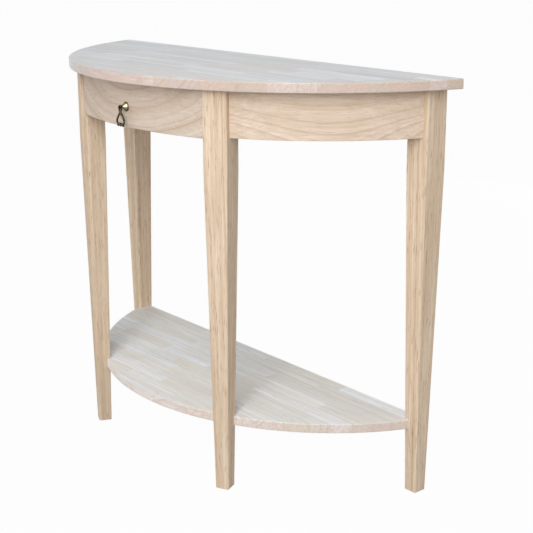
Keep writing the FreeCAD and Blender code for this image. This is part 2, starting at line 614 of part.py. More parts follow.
def pull_base(hole):
    """Turned base with a flared foot, a waist and an eye that faces sideways."""
    waist = PULL_REACH - PULL_EYE_RADIUS
    rim, shoulder = V(PULL_BASE_RADIUS, 0, 0), V(PULL_SHOULDER_RADIUS, 0, PULL_BASE_THICKNESS)
    edge = V(PULL_BASE_RADIUS, 0, PULL_BASE_THICKNESS / 2)
    half_way = V(PULL_FLARE_RADIUS, 0, (PULL_BASE_THICKNESS + waist) / 2)
    neck = V(PULL_NECK_RADIUS, 0, waist)
    flare = [Part.LineSegment(rim, edge), Part.LineSegment(edge, shoulder),
             Part.Arc(shoulder, half_way, neck)]
    tip = waist + PULL_NECK_SINK
    corners = [neck, V(PULL_NECK_RADIUS, 0, tip), V(0, 0, tip), V(0, 0, 0), rim]
    profile = flare + [Part.LineSegment(start, end) for start, end in zip(corners, corners[1:])]
    outline = Part.Wire([part.toShape() for part in profile])
    turned = Part.Face(outline).revolve(V(0, 0, 0), UP, 360)
    turned.rotate(V(0, 0, 0), V(1, 0, 0), 90)
    turned.translate(V(0, DRAWER_FACE_Y, PULL_Z))
    side = V(1, 0, 0)
    centre = V(0, DRAWER_FACE_Y - PULL_REACH, PULL_Z)
    eye_start = centre - side * (PULL_EYE_THICKNESS / 2)
    eye = Part.makeCylinder(PULL_EYE_RADIUS, PULL_EYE_THICKNESS, eye_start, side)
    eye = rounded(eye, PULL_EYE_ROUND, lambda line: line.Curve.TypeId == "Part::GeomCircle")
    bore = Part.makeCylinder(eye_bore(), 2 * PULL_EYE_RADIUS, centre - side * PULL_EYE_RADIUS, side)
    return as_solid(turned.fuse(eye).removeSplitter().cut([bore, hole]))


def tangent_normal(first, second):
    """Direction from the centres of two circles to the points where their common tangent touches them."""
    gap = second[0] - first[0]
    lean = (first[1] - second[1]) / gap.Length
    along = V(gap.x, 0, gap.z).normalize()
    return along * lean + V(-along.z, 0, along.x) * math.sqrt(1 - lean ** 2)


def hull_face(circles):
    """Flat face inside the tangents and arcs round circles, which are given clockwise as seen along +Y."""
    normals = [tangent_normal(one, other) for one, other in zip(circles, circles[1:] + circles[:1])]
    outline = []
    for at, (centre, radius) in enumerate(circles):
        before, after = normals[at - 1], normals[at]
        middle = (before + after).normalize()
        following, reach = circles[(at + 1) % len(circles)]
        outline += [Part.Arc(centre + before * radius, centre + middle * radius, centre + after * radius),
                    Part.LineSegment(centre + after * radius, following + after * reach)]
    return Part.Face(Part.Wire([part.toShape() for part in outline]))


def pear_plate():
    """Flat pear, the hull of a neck circle and two lower corners, with a hole of the same kind."""
    depth = -DROP_THICKNESS / 2
    neck, crown = V(0, depth, DROP_NECK_Z), V(0, depth, -DROP_HOLE_START - DROP_HOLE_CROWN)
    hips = [V(side * DROP_HIP_X, depth, DROP_HIP_Z) for side in (1, -1)]
    pear = hull_face([(neck, DROP_NECK_RADIUS)] + [(hip, DROP_HIP_RADIUS) for hip in hips])
    hole = hull_face([(crown, DROP_HOLE_CROWN)] + [(hip, DROP_HIP_RADIUS - DROP_STRAND) for hip in hips])
    plate = pear.cut(hole).extrude(V(0, DROP_THICKNESS, 0))
    return rounded(plate, DROP_ROUND, lambda line: line.BoundBox.YLength < DROP_ROUND)


def pull_drop():
    """Drop of the pull: a ring through the eye, a pierced pear and lobes along its foot."""
    ring = Part.makeTorus(RING_RADIUS, RING_WIRE_RADIUS, V(0, 0, -RING_RADIUS), V(0, 1, 0))
    lobes = []
    for index in range(LOBE_COUNT):
        place = V(LOBE_SPACING * (index - (LOBE_COUNT - 1) / 2), 0, LOBE_SINK - DROP_LENGTH)
        lobes.append(Part.makeSphere(LOBE_RADIUS, place))
    drop = pear_plate().fuse([ring] + lobes).removeSplitter()
    drop.translate(V(0, DRAWER_FACE_Y - PULL_REACH, PULL_Z))
    return as_solid(drop)


def pull_screw():
    """Screw from inside the drawer through its front into the base."""
    seat = V(0, DRAWER_FACE_Y + DRAWER_FRONT_THICKNESS + GLUE_GAP, PULL_Z)
    return screw(seat, V(0, -1, 0), DRAWER_FRONT_THICKNESS + GLUE_GAP + PULL_SCREW_GRIP)


# Assembly

def pins(fastenings):
    """The fastenings themselves, without their holes."""
    return [piece for piece, hole in fastenings]


def holes(fastenings):
    """The holes of the fastenings."""
    return [hole for piece, hole in fastenings]


def table():
    """Every piece of the table by name."""
    apron_pins, shelf_pins = apron_dowels(), shelf_dowels()
    rail_pins, runner_pins, drawer_pins = rail_dowels(), runner_dowels(), drawer_dowels()
    to_top, to_aprons = top_screws(), block_screws()
    all_top = to_top["front_block"] + to_top["back_block"] + to_top["kicker"]
    all_apron = apron_pins["front"] + apron_pins["side_back"] + apron_pins["back"]
    all_drawer = drawer_pins["front"] + drawer_pins["back"]
    fixing, fixing_hole = pull_screw()
    groove = drawer_bottom(GLUE_GAP)

    right = {
        "leg_front": front_leg(holes(apron_pins["front"] + list(rail_pins) + [shelf_pins[0]])),
        "leg_back": back_leg(holes(apron_pins["side_back"] + apron_pins["back"] + [shelf_pins[1]])),
        "apron_side": side_apron(holes(apron_pins["front"] + apron_pins["side_back"] + [to_aprons[0]])),
        "drawer_runner": drawer_runner(holes(runner_pins)),
        "drawer_kicker": drawer_kicker(holes(to_top["kicker"])),
        "corner_block_front": front_corner_block(holes(to_top["front_block"] + [to_aprons[0]])),
        "corner_block_back": back_corner_block(holes(to_top["back_block"] + [to_aprons[1]])),
        "drawer_side": drawer_side(holes(all_drawer) + [groove]),
    }
    pieces = {
        "top_panel": top_panel(both_sides(holes(all_top))),
        "shelf_panel": shelf_panel(both_sides(holes(shelf_pins))),
        "apron_back": back_apron(both_sides(holes(apron_pins["back"] + [runner_pins[1], to_aprons[1]]))),
        "front_rail_upper": front_rail(UPPER_RAIL_BOTTOM, both_sides(holes(rail_pins[:1]))),
        "front_rail_lower": front_rail(APRON_BOTTOM, both_sides(holes([rail_pins[1], runner_pins[0]]))),
        "drawer_front": drawer_front(both_sides(holes(drawer_pins["front"])) + [groove, fixing_hole]),
        "drawer_back": drawer_back(both_sides(holes(drawer_pins["back"])) + [groove]),
        "drawer_bottom": drawer_bottom(0),
        "pull_base": pull_base(fixing_hole),
        "pull_drop": pull_drop(),
        "pull_screw": fixing,
        "apron_dowels": Part.makeCompound(both_sides(pins(all_apron))),
        "rail_dowels": Part.makeCompound(both_sides(pins(rail_pins))),
        "runner_dowels": Part.makeCompound(both_sides(pins(runner_pins))),
        "shelf_dowels": Part.makeCompound(both_sides(pins(shelf_pins))),
        "drawer_dowels": Part.makeCompound(both_sides(pins(all_drawer))),
        "top_screws": Part.makeCompound(both_sides(pins(all_top))),
        "corner_block_screws": Part.makeCompound(both_sides(pins(to_aprons))),
    }
    for name, shape in right.items():
        pieces[name + "_right"] = shape
        pieces[name + "_left"] = mirrored(shape)
    return pieces


os.makedirs("parts", exist_ok=True)
for name, shape in table().items():
    shape.exportStep("parts/" + name + ".step")
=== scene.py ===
"""Half-moon console table in bare pale wood, with a bowed drawer and a brass drop pull.

The CAD frame is dressed, and the pieces that the photo shows best are modelled again. Lengths are
in metres.
"""
import logging
import math
from abc import ABC, abstractmethod
from collections.abc import Sequence
from dataclasses import dataclass, replace
from enum import Enum

import bpy
import numpy as np
from mathutils import Matrix, Vector


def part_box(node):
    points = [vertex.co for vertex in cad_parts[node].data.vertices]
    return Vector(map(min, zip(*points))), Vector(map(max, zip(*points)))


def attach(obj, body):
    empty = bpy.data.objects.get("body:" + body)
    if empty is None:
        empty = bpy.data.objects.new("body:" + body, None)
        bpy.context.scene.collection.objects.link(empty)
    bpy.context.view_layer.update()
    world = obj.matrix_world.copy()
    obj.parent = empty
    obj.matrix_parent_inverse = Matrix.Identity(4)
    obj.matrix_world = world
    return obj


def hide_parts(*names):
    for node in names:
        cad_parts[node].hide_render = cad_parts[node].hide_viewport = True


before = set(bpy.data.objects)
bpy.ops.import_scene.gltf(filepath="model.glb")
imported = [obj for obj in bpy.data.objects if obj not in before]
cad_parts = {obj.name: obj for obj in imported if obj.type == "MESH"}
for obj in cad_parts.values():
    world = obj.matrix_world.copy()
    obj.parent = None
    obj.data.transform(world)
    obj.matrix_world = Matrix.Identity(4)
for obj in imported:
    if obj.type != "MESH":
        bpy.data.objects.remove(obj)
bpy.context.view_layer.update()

LOG = logging.getLogger("half_moon_table")

Pair = tuple[float, float]
Rgb = tuple[float, float, float]
Point = tuple[float, float, float]
Triple = tuple[float, float, float]
Four = tuple[float, float, float, float]
Table = tuple[tuple[float, ...], tuple[float, ...]]
Skin = tuple[np.ndarray, list[list[int]]]
Material = bpy.types.Material
Node = bpy.types.Node
Socket = bpy.types.NodeSocket
Tree = bpy.types.NodeTree

ARC_Y = 0.3335              # y of the centre that the arcs in plan share
LEG_ANGLE = math.radians(25.6)
LEG_SIDE = 0.0231           # half the width of a front leg
BACK_LEG_FRONT = 0.1398     # y of the back legs' front faces
TOP_HEIGHT = 0.762
TOP_UNDERSIDE = 0.7445
SHELF_HEIGHT = 0.14
APRON_BOTTOM = 0.6615
APRON_RADIUS = 0.4945
SUPPORT = 0.0015            # from a rounded edge to the row that keeps the face beside it flat
SHARPEST = 0.0003           # radius of an edge that is only broken with sandpaper
CREASE = math.radians(32)   # faces that meet at more than this are shaded with a sharp edge
QUARTER = np.linspace(0, math.pi / 2, 6)    # angles of the points on a rounded edge
WHITE = (1.0, 1.0, 1.0, 1.0)


def linear(screen: Rgb) -> Four:
    """Turns a screen colour of 0 to 255 into linear light, by the two parts of the sRGB curve.

    Args:
        screen: The screen colour.

    Returns:
        Linear red, green, blue and a full alpha.
    """
    parts = np.array(screen) / 255.0
    low, high = parts / 12.92, ((parts + 0.055) / 1.055) ** 2.4
    return (*np.where(parts <= 0.04045, low, high).tolist(), 1.0)


def full_turn(count: int) -> np.ndarray:
    """Gives evenly spaced angles of a full turn."""
    return np.linspace(0, 2 * math.pi, count, endpoint=False)


def grid(*parts: object) -> np.ndarray:
    """Stacks the coordinates of points, each spread over the whole grid."""
    return np.stack(np.broadcast_arrays(*parts), -1)


def skin(rows: np.ndarray, wrap: bool = False) -> Skin:
    """Covers a grid of rings with faces.

    The surface is P(i, j), ring i and place j on it. Each ring is closed. The first and last ring
    are closed by a fan to their mean point, or joined to each other. Faces are turned outwards by
    the sign of the volume.

    Args:
        rows: Points of shape (rings, places, 3).
        wrap: Whether the last ring joins the first.

    Returns:
        Points of shape (n, 3) and faces as lists of point numbers.
    """
    rings, places = rows.shape[:2]
    points = rows.reshape(-1, 3)
    numbers = np.arange(rings * places).reshape(rings, places)
    near, far = (numbers, np.roll(numbers, -1, 0)) if wrap else (numbers[:-1], numbers[1:])
    quads = grid(near, far, np.roll(far, -1, 1), np.roll(near, -1, 1)).reshape(-1, 4)
    triangles = np.concatenate([quads[:, [0, 1, 2]], quads[:, [0, 2, 3]]])
    faces = quads.tolist()
    if not wrap:
        first, last = len(points), len(points) + 1
        points = np.concatenate([points, rows[:1].mean(1), rows[-1:].mean(1)])
        caps = np.concatenate([grid(first, numbers[0], np.roll(numbers[0], -1)),
                               grid(last, np.roll(numbers[-1], -1), numbers[-1])])
        triangles = np.concatenate([triangles, caps])
        faces += caps.tolist()
    a, b, c = (points[triangles[:, at]] for at in range(3))
    if np.einsum("ij,ij->i", a, np.cross(b, c)).sum() < 0:
        faces = [face[::-1] for face in faces]
    return points, faces


def piece(name: str, skins: Sequence[Skin], body: str, nodes: Sequence[str],
          material: Material, rubbed: np.ndarray | None = None) -> None:
    """Makes one object of closed skins and gives it its body and material.

    Args:
        name: Name of the object.
        skins: Closed surfaces that the piece is made of.
        body: Body that it rides on.
        nodes: CAD nodes that it stands for.
        material: Its finish.
        rubbed: How far each point is rubbed bright, from 0 to 1, painted shade included.
    """
    starts = np.cumsum([0] + [len(points) for points, _ in skins])
    points = np.concatenate([points for points, _ in skins])
    faces = [[number + start for number in face]
             for (_, part), start in zip(skins, starts) for face in part]
    mesh = bpy.data.meshes.new(name)
    mesh.from_pydata(points.tolist(), [], faces)
    mesh.polygons.foreach_set("use_smooth", np.ones(len(faces), bool))
    mesh.set_sharp_from_angle(angle=CREASE)
    if rubbed is not None:
        wear_and_shade = mesh.attributes.new("rubbed", "FLOAT", "POINT")
        wear_and_shade.data.foreach_set("value", rubbed.astype(np.float32))
    mesh.materials.append(material)
    mesh.update()
    made = bpy.data.objects.new(name, mesh)
    bpy.context.scene.collection.objects.link(made)
    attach(made, body)
    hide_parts(*nodes)
    LOG.info("%s: %d points, rides on %s", name, len(points), body)


def dress_node(node: str, material: Material) -> None:
    """Puts a material in all of a CAD node's slots.

    Args:
        node: Name of the node.
        material: The material.
    """
    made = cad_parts[node]
    if not made.material_slots:
        made.data.materials.append(material)
    for slot in made.material_slots:
        slot.material = material
    LOG.info("%s: finish %s", node, material.name)


def rounded_loop(low: Pair, high: Pair, radii: Sequence[float], spans: int = 6) -> np.ndarray:
    """Closed rectangle with a quarter round at each corner and rows close beside the rounds.

    A corner with the centre c and radius q has the points c + q (cos t, sin t), with t over a
    quarter turn.

    Args:
        low: Lowest first and second coordinate.
        high: Highest first and second coordinate.
        radii: Radius at the corners (high, low), (high, high), (low, high) and (low, low).
        spans: Number of parts that each straight side is divided into.

    Returns:
        Points of shape (n, 2), counter-clockwise.
    """
    corners = np.array([(high[0], low[1]), (high[0], high[1]), (low[0], high[1]), (low[0], low[1])])
    inward = np.array([(-1, 1), (-1, -1), (1, -1), (1, 1)])
    arcs = []
    for at, radius in enumerate(radii):
        turn = QUARTER + (at - 1) * math.pi / 2
        arcs.append(corners[at] + radius * (inward[at] + grid(np.cos(turn), np.sin(turn))))
    parts = []
    for arc, following in zip(arcs, arcs[1:] + arcs[:1]):
        start, stop = arc[-1], following[0]
        edge = SUPPORT / np.linalg.norm(stop - start)
        inner = np.linspace(0, 1, spans + 1)[1:-1]
        shares = np.concatenate([[edge], inner, [1 - edge]])[:, None]
        parts += [arc, start + (stop - start) * shares]
    return np.concatenate(parts)


class Sheet:
    """A node tree with short ways to add nodes and join them."""

    KINDS = {"Vector": "Vector", "Tint": "Color"}  # sockets of groups that are no plain numbers
    MIX_SOCKETS = (0, 6, 7)  # the Mix node's share and its two colours
    MIX_COLOUR = 2  # its output for colours

    def __init__(self, tree: Tree) -> None:
        """Keeps the tree."""
        self.tree = tree

    @classmethod
    def for_material(cls, name: str) -> tuple["Sheet", Material, Node]:
        """Starts a material.

        Args:
            name: Name of the material.

        Returns:
            The sheet, the material and its Principled shader.
        """
        material = bpy.data.materials.new(name)
        material.use_nodes = True
        sheet = cls(material.node_tree)
        return sheet, material, sheet.tree.nodes["Principled BSDF"]

    @classmethod
    def for_group(cls, name: str, inputs: str, outputs: str) -> tuple["Sheet", list[Socket], Node]:
        """Starts a node group.

        Args:
            name: Name of the group.
            inputs: Names of its inputs, with a space between them.
            outputs: Names of its outputs.

        Returns:
            The sheet, the input sockets to read and the output node to feed.
        """
        tree = bpy.data.node_groups.new(name, "ShaderNodeTree")
        for way, titles in (("INPUT", inputs), ("OUTPUT", outputs)):
            for title in titles.split():
                kind = "NodeSocket" + cls.KINDS.get(title, "Float")
                tree.interface.new_socket(title, in_out=way, socket_type=kind)
        sheet = cls(tree)
        given = sheet.add("NodeGroupInput").outputs
        return sheet, [given[key] for key in inputs.split()], sheet.add("NodeGroupOutput")

    def add(self, kind: str, **settings: object) -> Node:
        """Adds a node.

        Args:
            kind: Blender's name of the node.
            **settings: Properties to set on it.

        Returns:
            The node.
        """
        node = self.tree.nodes.new(kind)
        for key, value in settings.items():
            setattr(node, key, value)
        return node

    def fill(self, socket: Socket, value: object) -> None:
        """Joins a socket to another one, or sets its value.

        Args:
            socket: The input to fill.
            value: A value, or the socket to join it to.
        """
        if isinstance(value, Socket):
            self.tree.links.new(value, socket)
        else:
            socket.default_value = value

    def feed(self, node: Node, *values: object, **named: object) -> Node:
        """Fills several inputs of a node.

        Args:
            node: The node.
            *values: Values or sockets for its first inputs.
            **named: Values or sockets for inputs by name, with _ for a space in a name.

        Returns:
            The node.
        """
        for socket, value in zip(node.inputs, values):
            self.fill(socket, value)
        for key, value in named.items():
            self.fill(node.inputs[key.replace("_", " ")], value)
        return node

    def math(self, operation: str, *values: object, clamp: bool = False) -> Socket:
        """Works out a number, which is kept between 0 and 1 if clamp is set."""
        node = self.add("ShaderNodeMath", operation=operation, use_clamp=clamp)
        return self.feed(node, *values).outputs[0]

    def vector(self, operation: str, *values: object, **named: object) -> Socket:
        """Works out a vector."""
        node = self.add("ShaderNodeVectorMath", operation=operation)
        return self.feed(node, *values, **named).outputs[0]

    def parts(self, vector: Socket) -> Sequence[Socket]:
        """Splits a vector or colour into its three numbers."""
        return self.feed(self.add("ShaderNodeSeparateXYZ"), vector).outputs

    def span(self, value: Socket, low: float, high: float, to_low: float = 0.0,
             to_high: float = 1.0, smooth: bool = False) -> Socket:
        """Carries a number from the range low to high to the range to_low to to_high."""
        node = self.add("ShaderNodeMapRange",
                        interpolation_type="SMOOTHSTEP" if smooth else "LINEAR")
        return self.feed(node, value, low, high, to_low, to_high).outputs[0]

    def blend(self, share: object, first: object, second: object, kind: str = "MIX") -> Socket:
        """Mixes two colours.

        Args:
            share: Share of the second colour.
            first: First colour.
            second: Second colour.
            kind: Blender's name of the way to mix.

        Returns:
            The mixed colour's socket.
        """
        node = self.add("ShaderNodeMix", data_type="RGBA", blend_type=kind)
        for at, value in zip(self.MIX_SOCKETS, (share, first, second)):
            self.fill(node.inputs[at], value)
        return node.outputs[self.MIX_COLOUR]

    def stain(self, colour: object, mask: Socket, strength: object, tone: Rgb) -> Socket:
        """Lays a screen colour over another colour, by a mask times a strength."""
        return self.blend(self.math("MULTIPLY", mask, strength), colour, linear(tone))

    def noise(self, vector: Socket, seed: object, scale: float = 1.0, detail: float = 2.0) -> Node:
        """Adds a noise texture with scale lumps in a metre and detail finer layers."""
        node = self.add("ShaderNodeTexNoise", noise_dimensions="4D")
        return self.feed(node, Vector=vector, W=seed, Scale=scale, Detail=detail)

    def random(self, number: Socket) -> Socket:
        """Gives a random value from 0 to 1 for a number."""
        node = self.add("ShaderNodeTexWhiteNoise", noise_dimensions="1D")
        return self.feed(node, W=number).outputs["Value"]

    def group(self, tree: Tree, **values: object) -> dict[str, Socket]:
        """Places a node group, and gives its outputs by name."""
        node = self.feed(self.add("ShaderNodeGroup", node_tree=tree), **values)
        return {socket.name: socket for socket in node.outputs}

    def bump(self, height: Socket, strength: float, depth: float) -> Socket:
        """Turns heights into a normal, with the depth of a height of 1."""
        node = self.add("ShaderNodeBump")
        return self.feed(node, Strength=strength, Distance=depth, Height=height).outputs[0]


class WoodEffects:
    """The node groups that all woods share. In each the grain runs along X."""

    BEND_STRETCH = (0.3, 1.0, 1.0)  # slow bends are longer along the grain
    BEND_SCALE = 9.0
    MIDDLE = (0.5, 0.5, 0.5)  # mean colour of a noise
    DRIFT_SCALE = 0.37  # how fast the rings' width varies from ring to ring
    DRIFT = 3.0  # how far that moves a ring, in rings
    LINE_POWER = 5.0  # how late in a ring its line rises
    LINE_END = 0.9  # share of a ring at which its line falls off again
    LINE_STRENGTH = (0.3, 1.3)
    NOISE_RANGE = (0.3, 0.7)  # where most values of a noise lie
    FIBRE_STRETCH = (6.0, 240.0, 240.0)  # lumps in a metre along and across the grain
    PORE_STRETCH = (40.0, 720.0, 720.0)
    PORE_RANGE = (0.56, 0.71)  # noise at which a pore starts and is full
    STAVE_RANGE = (0.75, 1.3)  # a row's stave length, as a share of the usual one
    ROW_SHIFT = 3.7  # how far a row is moved along at most
    JOINT_FADE = (0.0002, 0.0009)  # where a glue line starts to fade and ends

    def __init__(self) -> None:
        """Builds the groups."""
        self.rings, self.pores = self.growth_rings(), self.wood_pores()
        self.staves = self.glued_staves()

    def growth_rings(self) -> Tree:
        """Growth rings about a pith on the X axis.

        With r the distance from the axis, bent by slow noise, and p = r / spacing + noise of r, a
        ring's line is (p - floor p) ** 5, cut off softly at its end, times a random strength for
        each floor p.

        Returns:
            The group.
        """
        sheet, (vector, spacing, waviness, seed), result = Sheet.for_group(
            "growth_rings", "Vector Spacing Waviness Seed", "Lines Bands")
        stretched = sheet.vector("MULTIPLY", vector, self.BEND_STRETCH)
        wave = sheet.noise(stretched, seed, self.BEND_SCALE).outputs["Color"]
        offset = sheet.vector("SUBTRACT", wave, self.MIDDLE)
        bend = sheet.vector("SCALE", offset, Scale=waviness)
        _, across, deep = sheet.parts(sheet.vector("ADD", vector, bend))
        squares = (sheet.math("MULTIPLY", part, part) for part in (across, deep))
        distance = sheet.math("SQRT", sheet.math("ADD", *squares))
        even = sheet.math("DIVIDE", distance, spacing)
        drift = sheet.feed(sheet.add("ShaderNodeTexNoise", noise_dimensions="1D"), Detail=1.0,
                           W=sheet.math("ADD", even, seed), Scale=self.DRIFT_SCALE)
        phase = sheet.math("MULTIPLY_ADD", drift.outputs[0], self.DRIFT, even)
        part = sheet.math("FRACT", phase)
        rise = sheet.math("POWER", part, self.LINE_POWER)
        fall = sheet.span(part, self.LINE_END, 1.0, 1.0, 0.0, smooth=True)
        number = sheet.math("ADD", sheet.math("FLOOR", phase), seed)
        strength = sheet.span(sheet.random(number), 0.0, 1.0, *self.LINE_STRENGTH)
        line = sheet.math("MULTIPLY", sheet.math("MULTIPLY", rise, fall), strength, clamp=True)
        sheet.feed(result, Lines=line, Bands=sheet.span(drift.outputs[0], *self.NOISE_RANGE))
        return sheet.tree

    def wood_pores(self) -> Tree:
        """Long fibre streaks and short open pores.

        Both are noise drawn out along the grain, the streaks as it is and the pores where it is
        above a threshold.

        Returns:
            The group.
        """
        sheet, (vector, seed), result = Sheet.for_group("wood_pores", "Vector Seed", "Fibre Pores")
        long_way, short_way = (sheet.vector("MULTIPLY", vector, stretch)
                               for stretch in (self.FIBRE_STRETCH, self.PORE_STRETCH))
        fibre, pores = sheet.noise(long_way, seed, detail=3.0), sheet.noise(short_way, seed)
        sheet.feed(result, Fibre=sheet.span(fibre.outputs[0], *self.NOISE_RANGE),
                   Pores=sheet.span(pores.outputs[0], *self.PORE_RANGE, smooth=True))
        return sheet.tree

    def glued_staves(self) -> Tree:
        """Staves glued edge to edge along X.

        A point lies in the row floor(y / width), and in its stave floor((x + random) / length).

        Returns:
            The group.
        """
        sheet, (vector, width, length, seed), result = Sheet.for_group(
            "glued_staves", "Vector Width Length Seed", "Tint Tone Joint")
        place = sheet.parts(vector)
        across = sheet.math("DIVIDE", place[1], width)
        row = sheet.math("FLOOR", across)
        start = sheet.random(sheet.math("ADD", row, seed))
        run = sheet.math("MULTIPLY", length, sheet.span(start, 0.0, 1.0, *self.STAVE_RANGE))
        moved = sheet.math("MULTIPLY_ADD", start, self.ROW_SHIFT, place[0])
        along = sheet.math("DIVIDE", moved, run)
        column = sheet.math("FLOOR", along)
        name = sheet.feed(sheet.add("ShaderNodeCombineXYZ"), row, column, seed)
        pick = sheet.feed(sheet.add("ShaderNodeTexWhiteNoise", noise_dimensions="3D"),
                          Vector=name.outputs[0])
        edges = []
        for share, size in ((across, width), (along, run)):
            centred = sheet.math("SUBTRACT", sheet.math("FRACT", share), 0.5)
            to_edge = sheet.math("SUBTRACT", 0.5, sheet.math("ABSOLUTE", centred))
            edges.append(sheet.math("MULTIPLY", to_edge, size))
        nearest = sheet.math("MINIMUM", *edges)
        sheet.feed(result, Tint=pick.outputs["Color"], Tone=pick.outputs["Value"],
                   Joint=sheet.span(nearest, *self.JOINT_FADE, 1.0, 0.0, smooth=True))
        return sheet.tree


@dataclass(frozen=True)
class GrainFrame:
    """Where a piece's grain runs."""

    STEEP = 0.9  # upward part of a direction that counts as upright

    pith: Point  # a point on the line that the growth rings go round
    along: Point  # direction of the grain
    seed: float  # sets the piece apart

    def turn(self) -> Point:
        """Works out how the grain is turned.

        Returns:
            Angles that turn X to the grain's direction.
        """
        along = Vector(self.along).normalized()
        side = Vector((0, 1, 0))
        if abs(along.z) <= self.STEEP:
            side = Vector((0, 0, 1)).cross(along).normalized()
        return tuple(Matrix((along, side, along.cross(side))).transposed().to_euler())


@dataclass(frozen=True)
class Staves:
    """How a board is glued up."""

    tints: tuple[Rgb, ...]  # screen colours, from tone 0 to 1
    share: float  # how far the tints cover the wood's own colour
    joint: float  # strength of the glue lines
    rim: float  # strength of the rings' lines on the board's edge
    coolest_stave_and_sheen: Rgb  # what the upper face of the coolest staves is multiplied by: their tint and a painted sheen
    warmest_stave_and_sheen: Rgb  # the same for the warmest, also with the painted sheen
    streaks: float  # how much lighter and darker than their mean the painted sheen streaks on the face are
    haze: float  # strength of the dust that shows at low angles
    haze_tint: Rgb
    haze_spread: float  # how far it reaches towards steeper angles, from 0 to 1
    face_height: float  # height of the upper face
    width: float = 0.03
    length: float = 0.2  # usual length of a stave


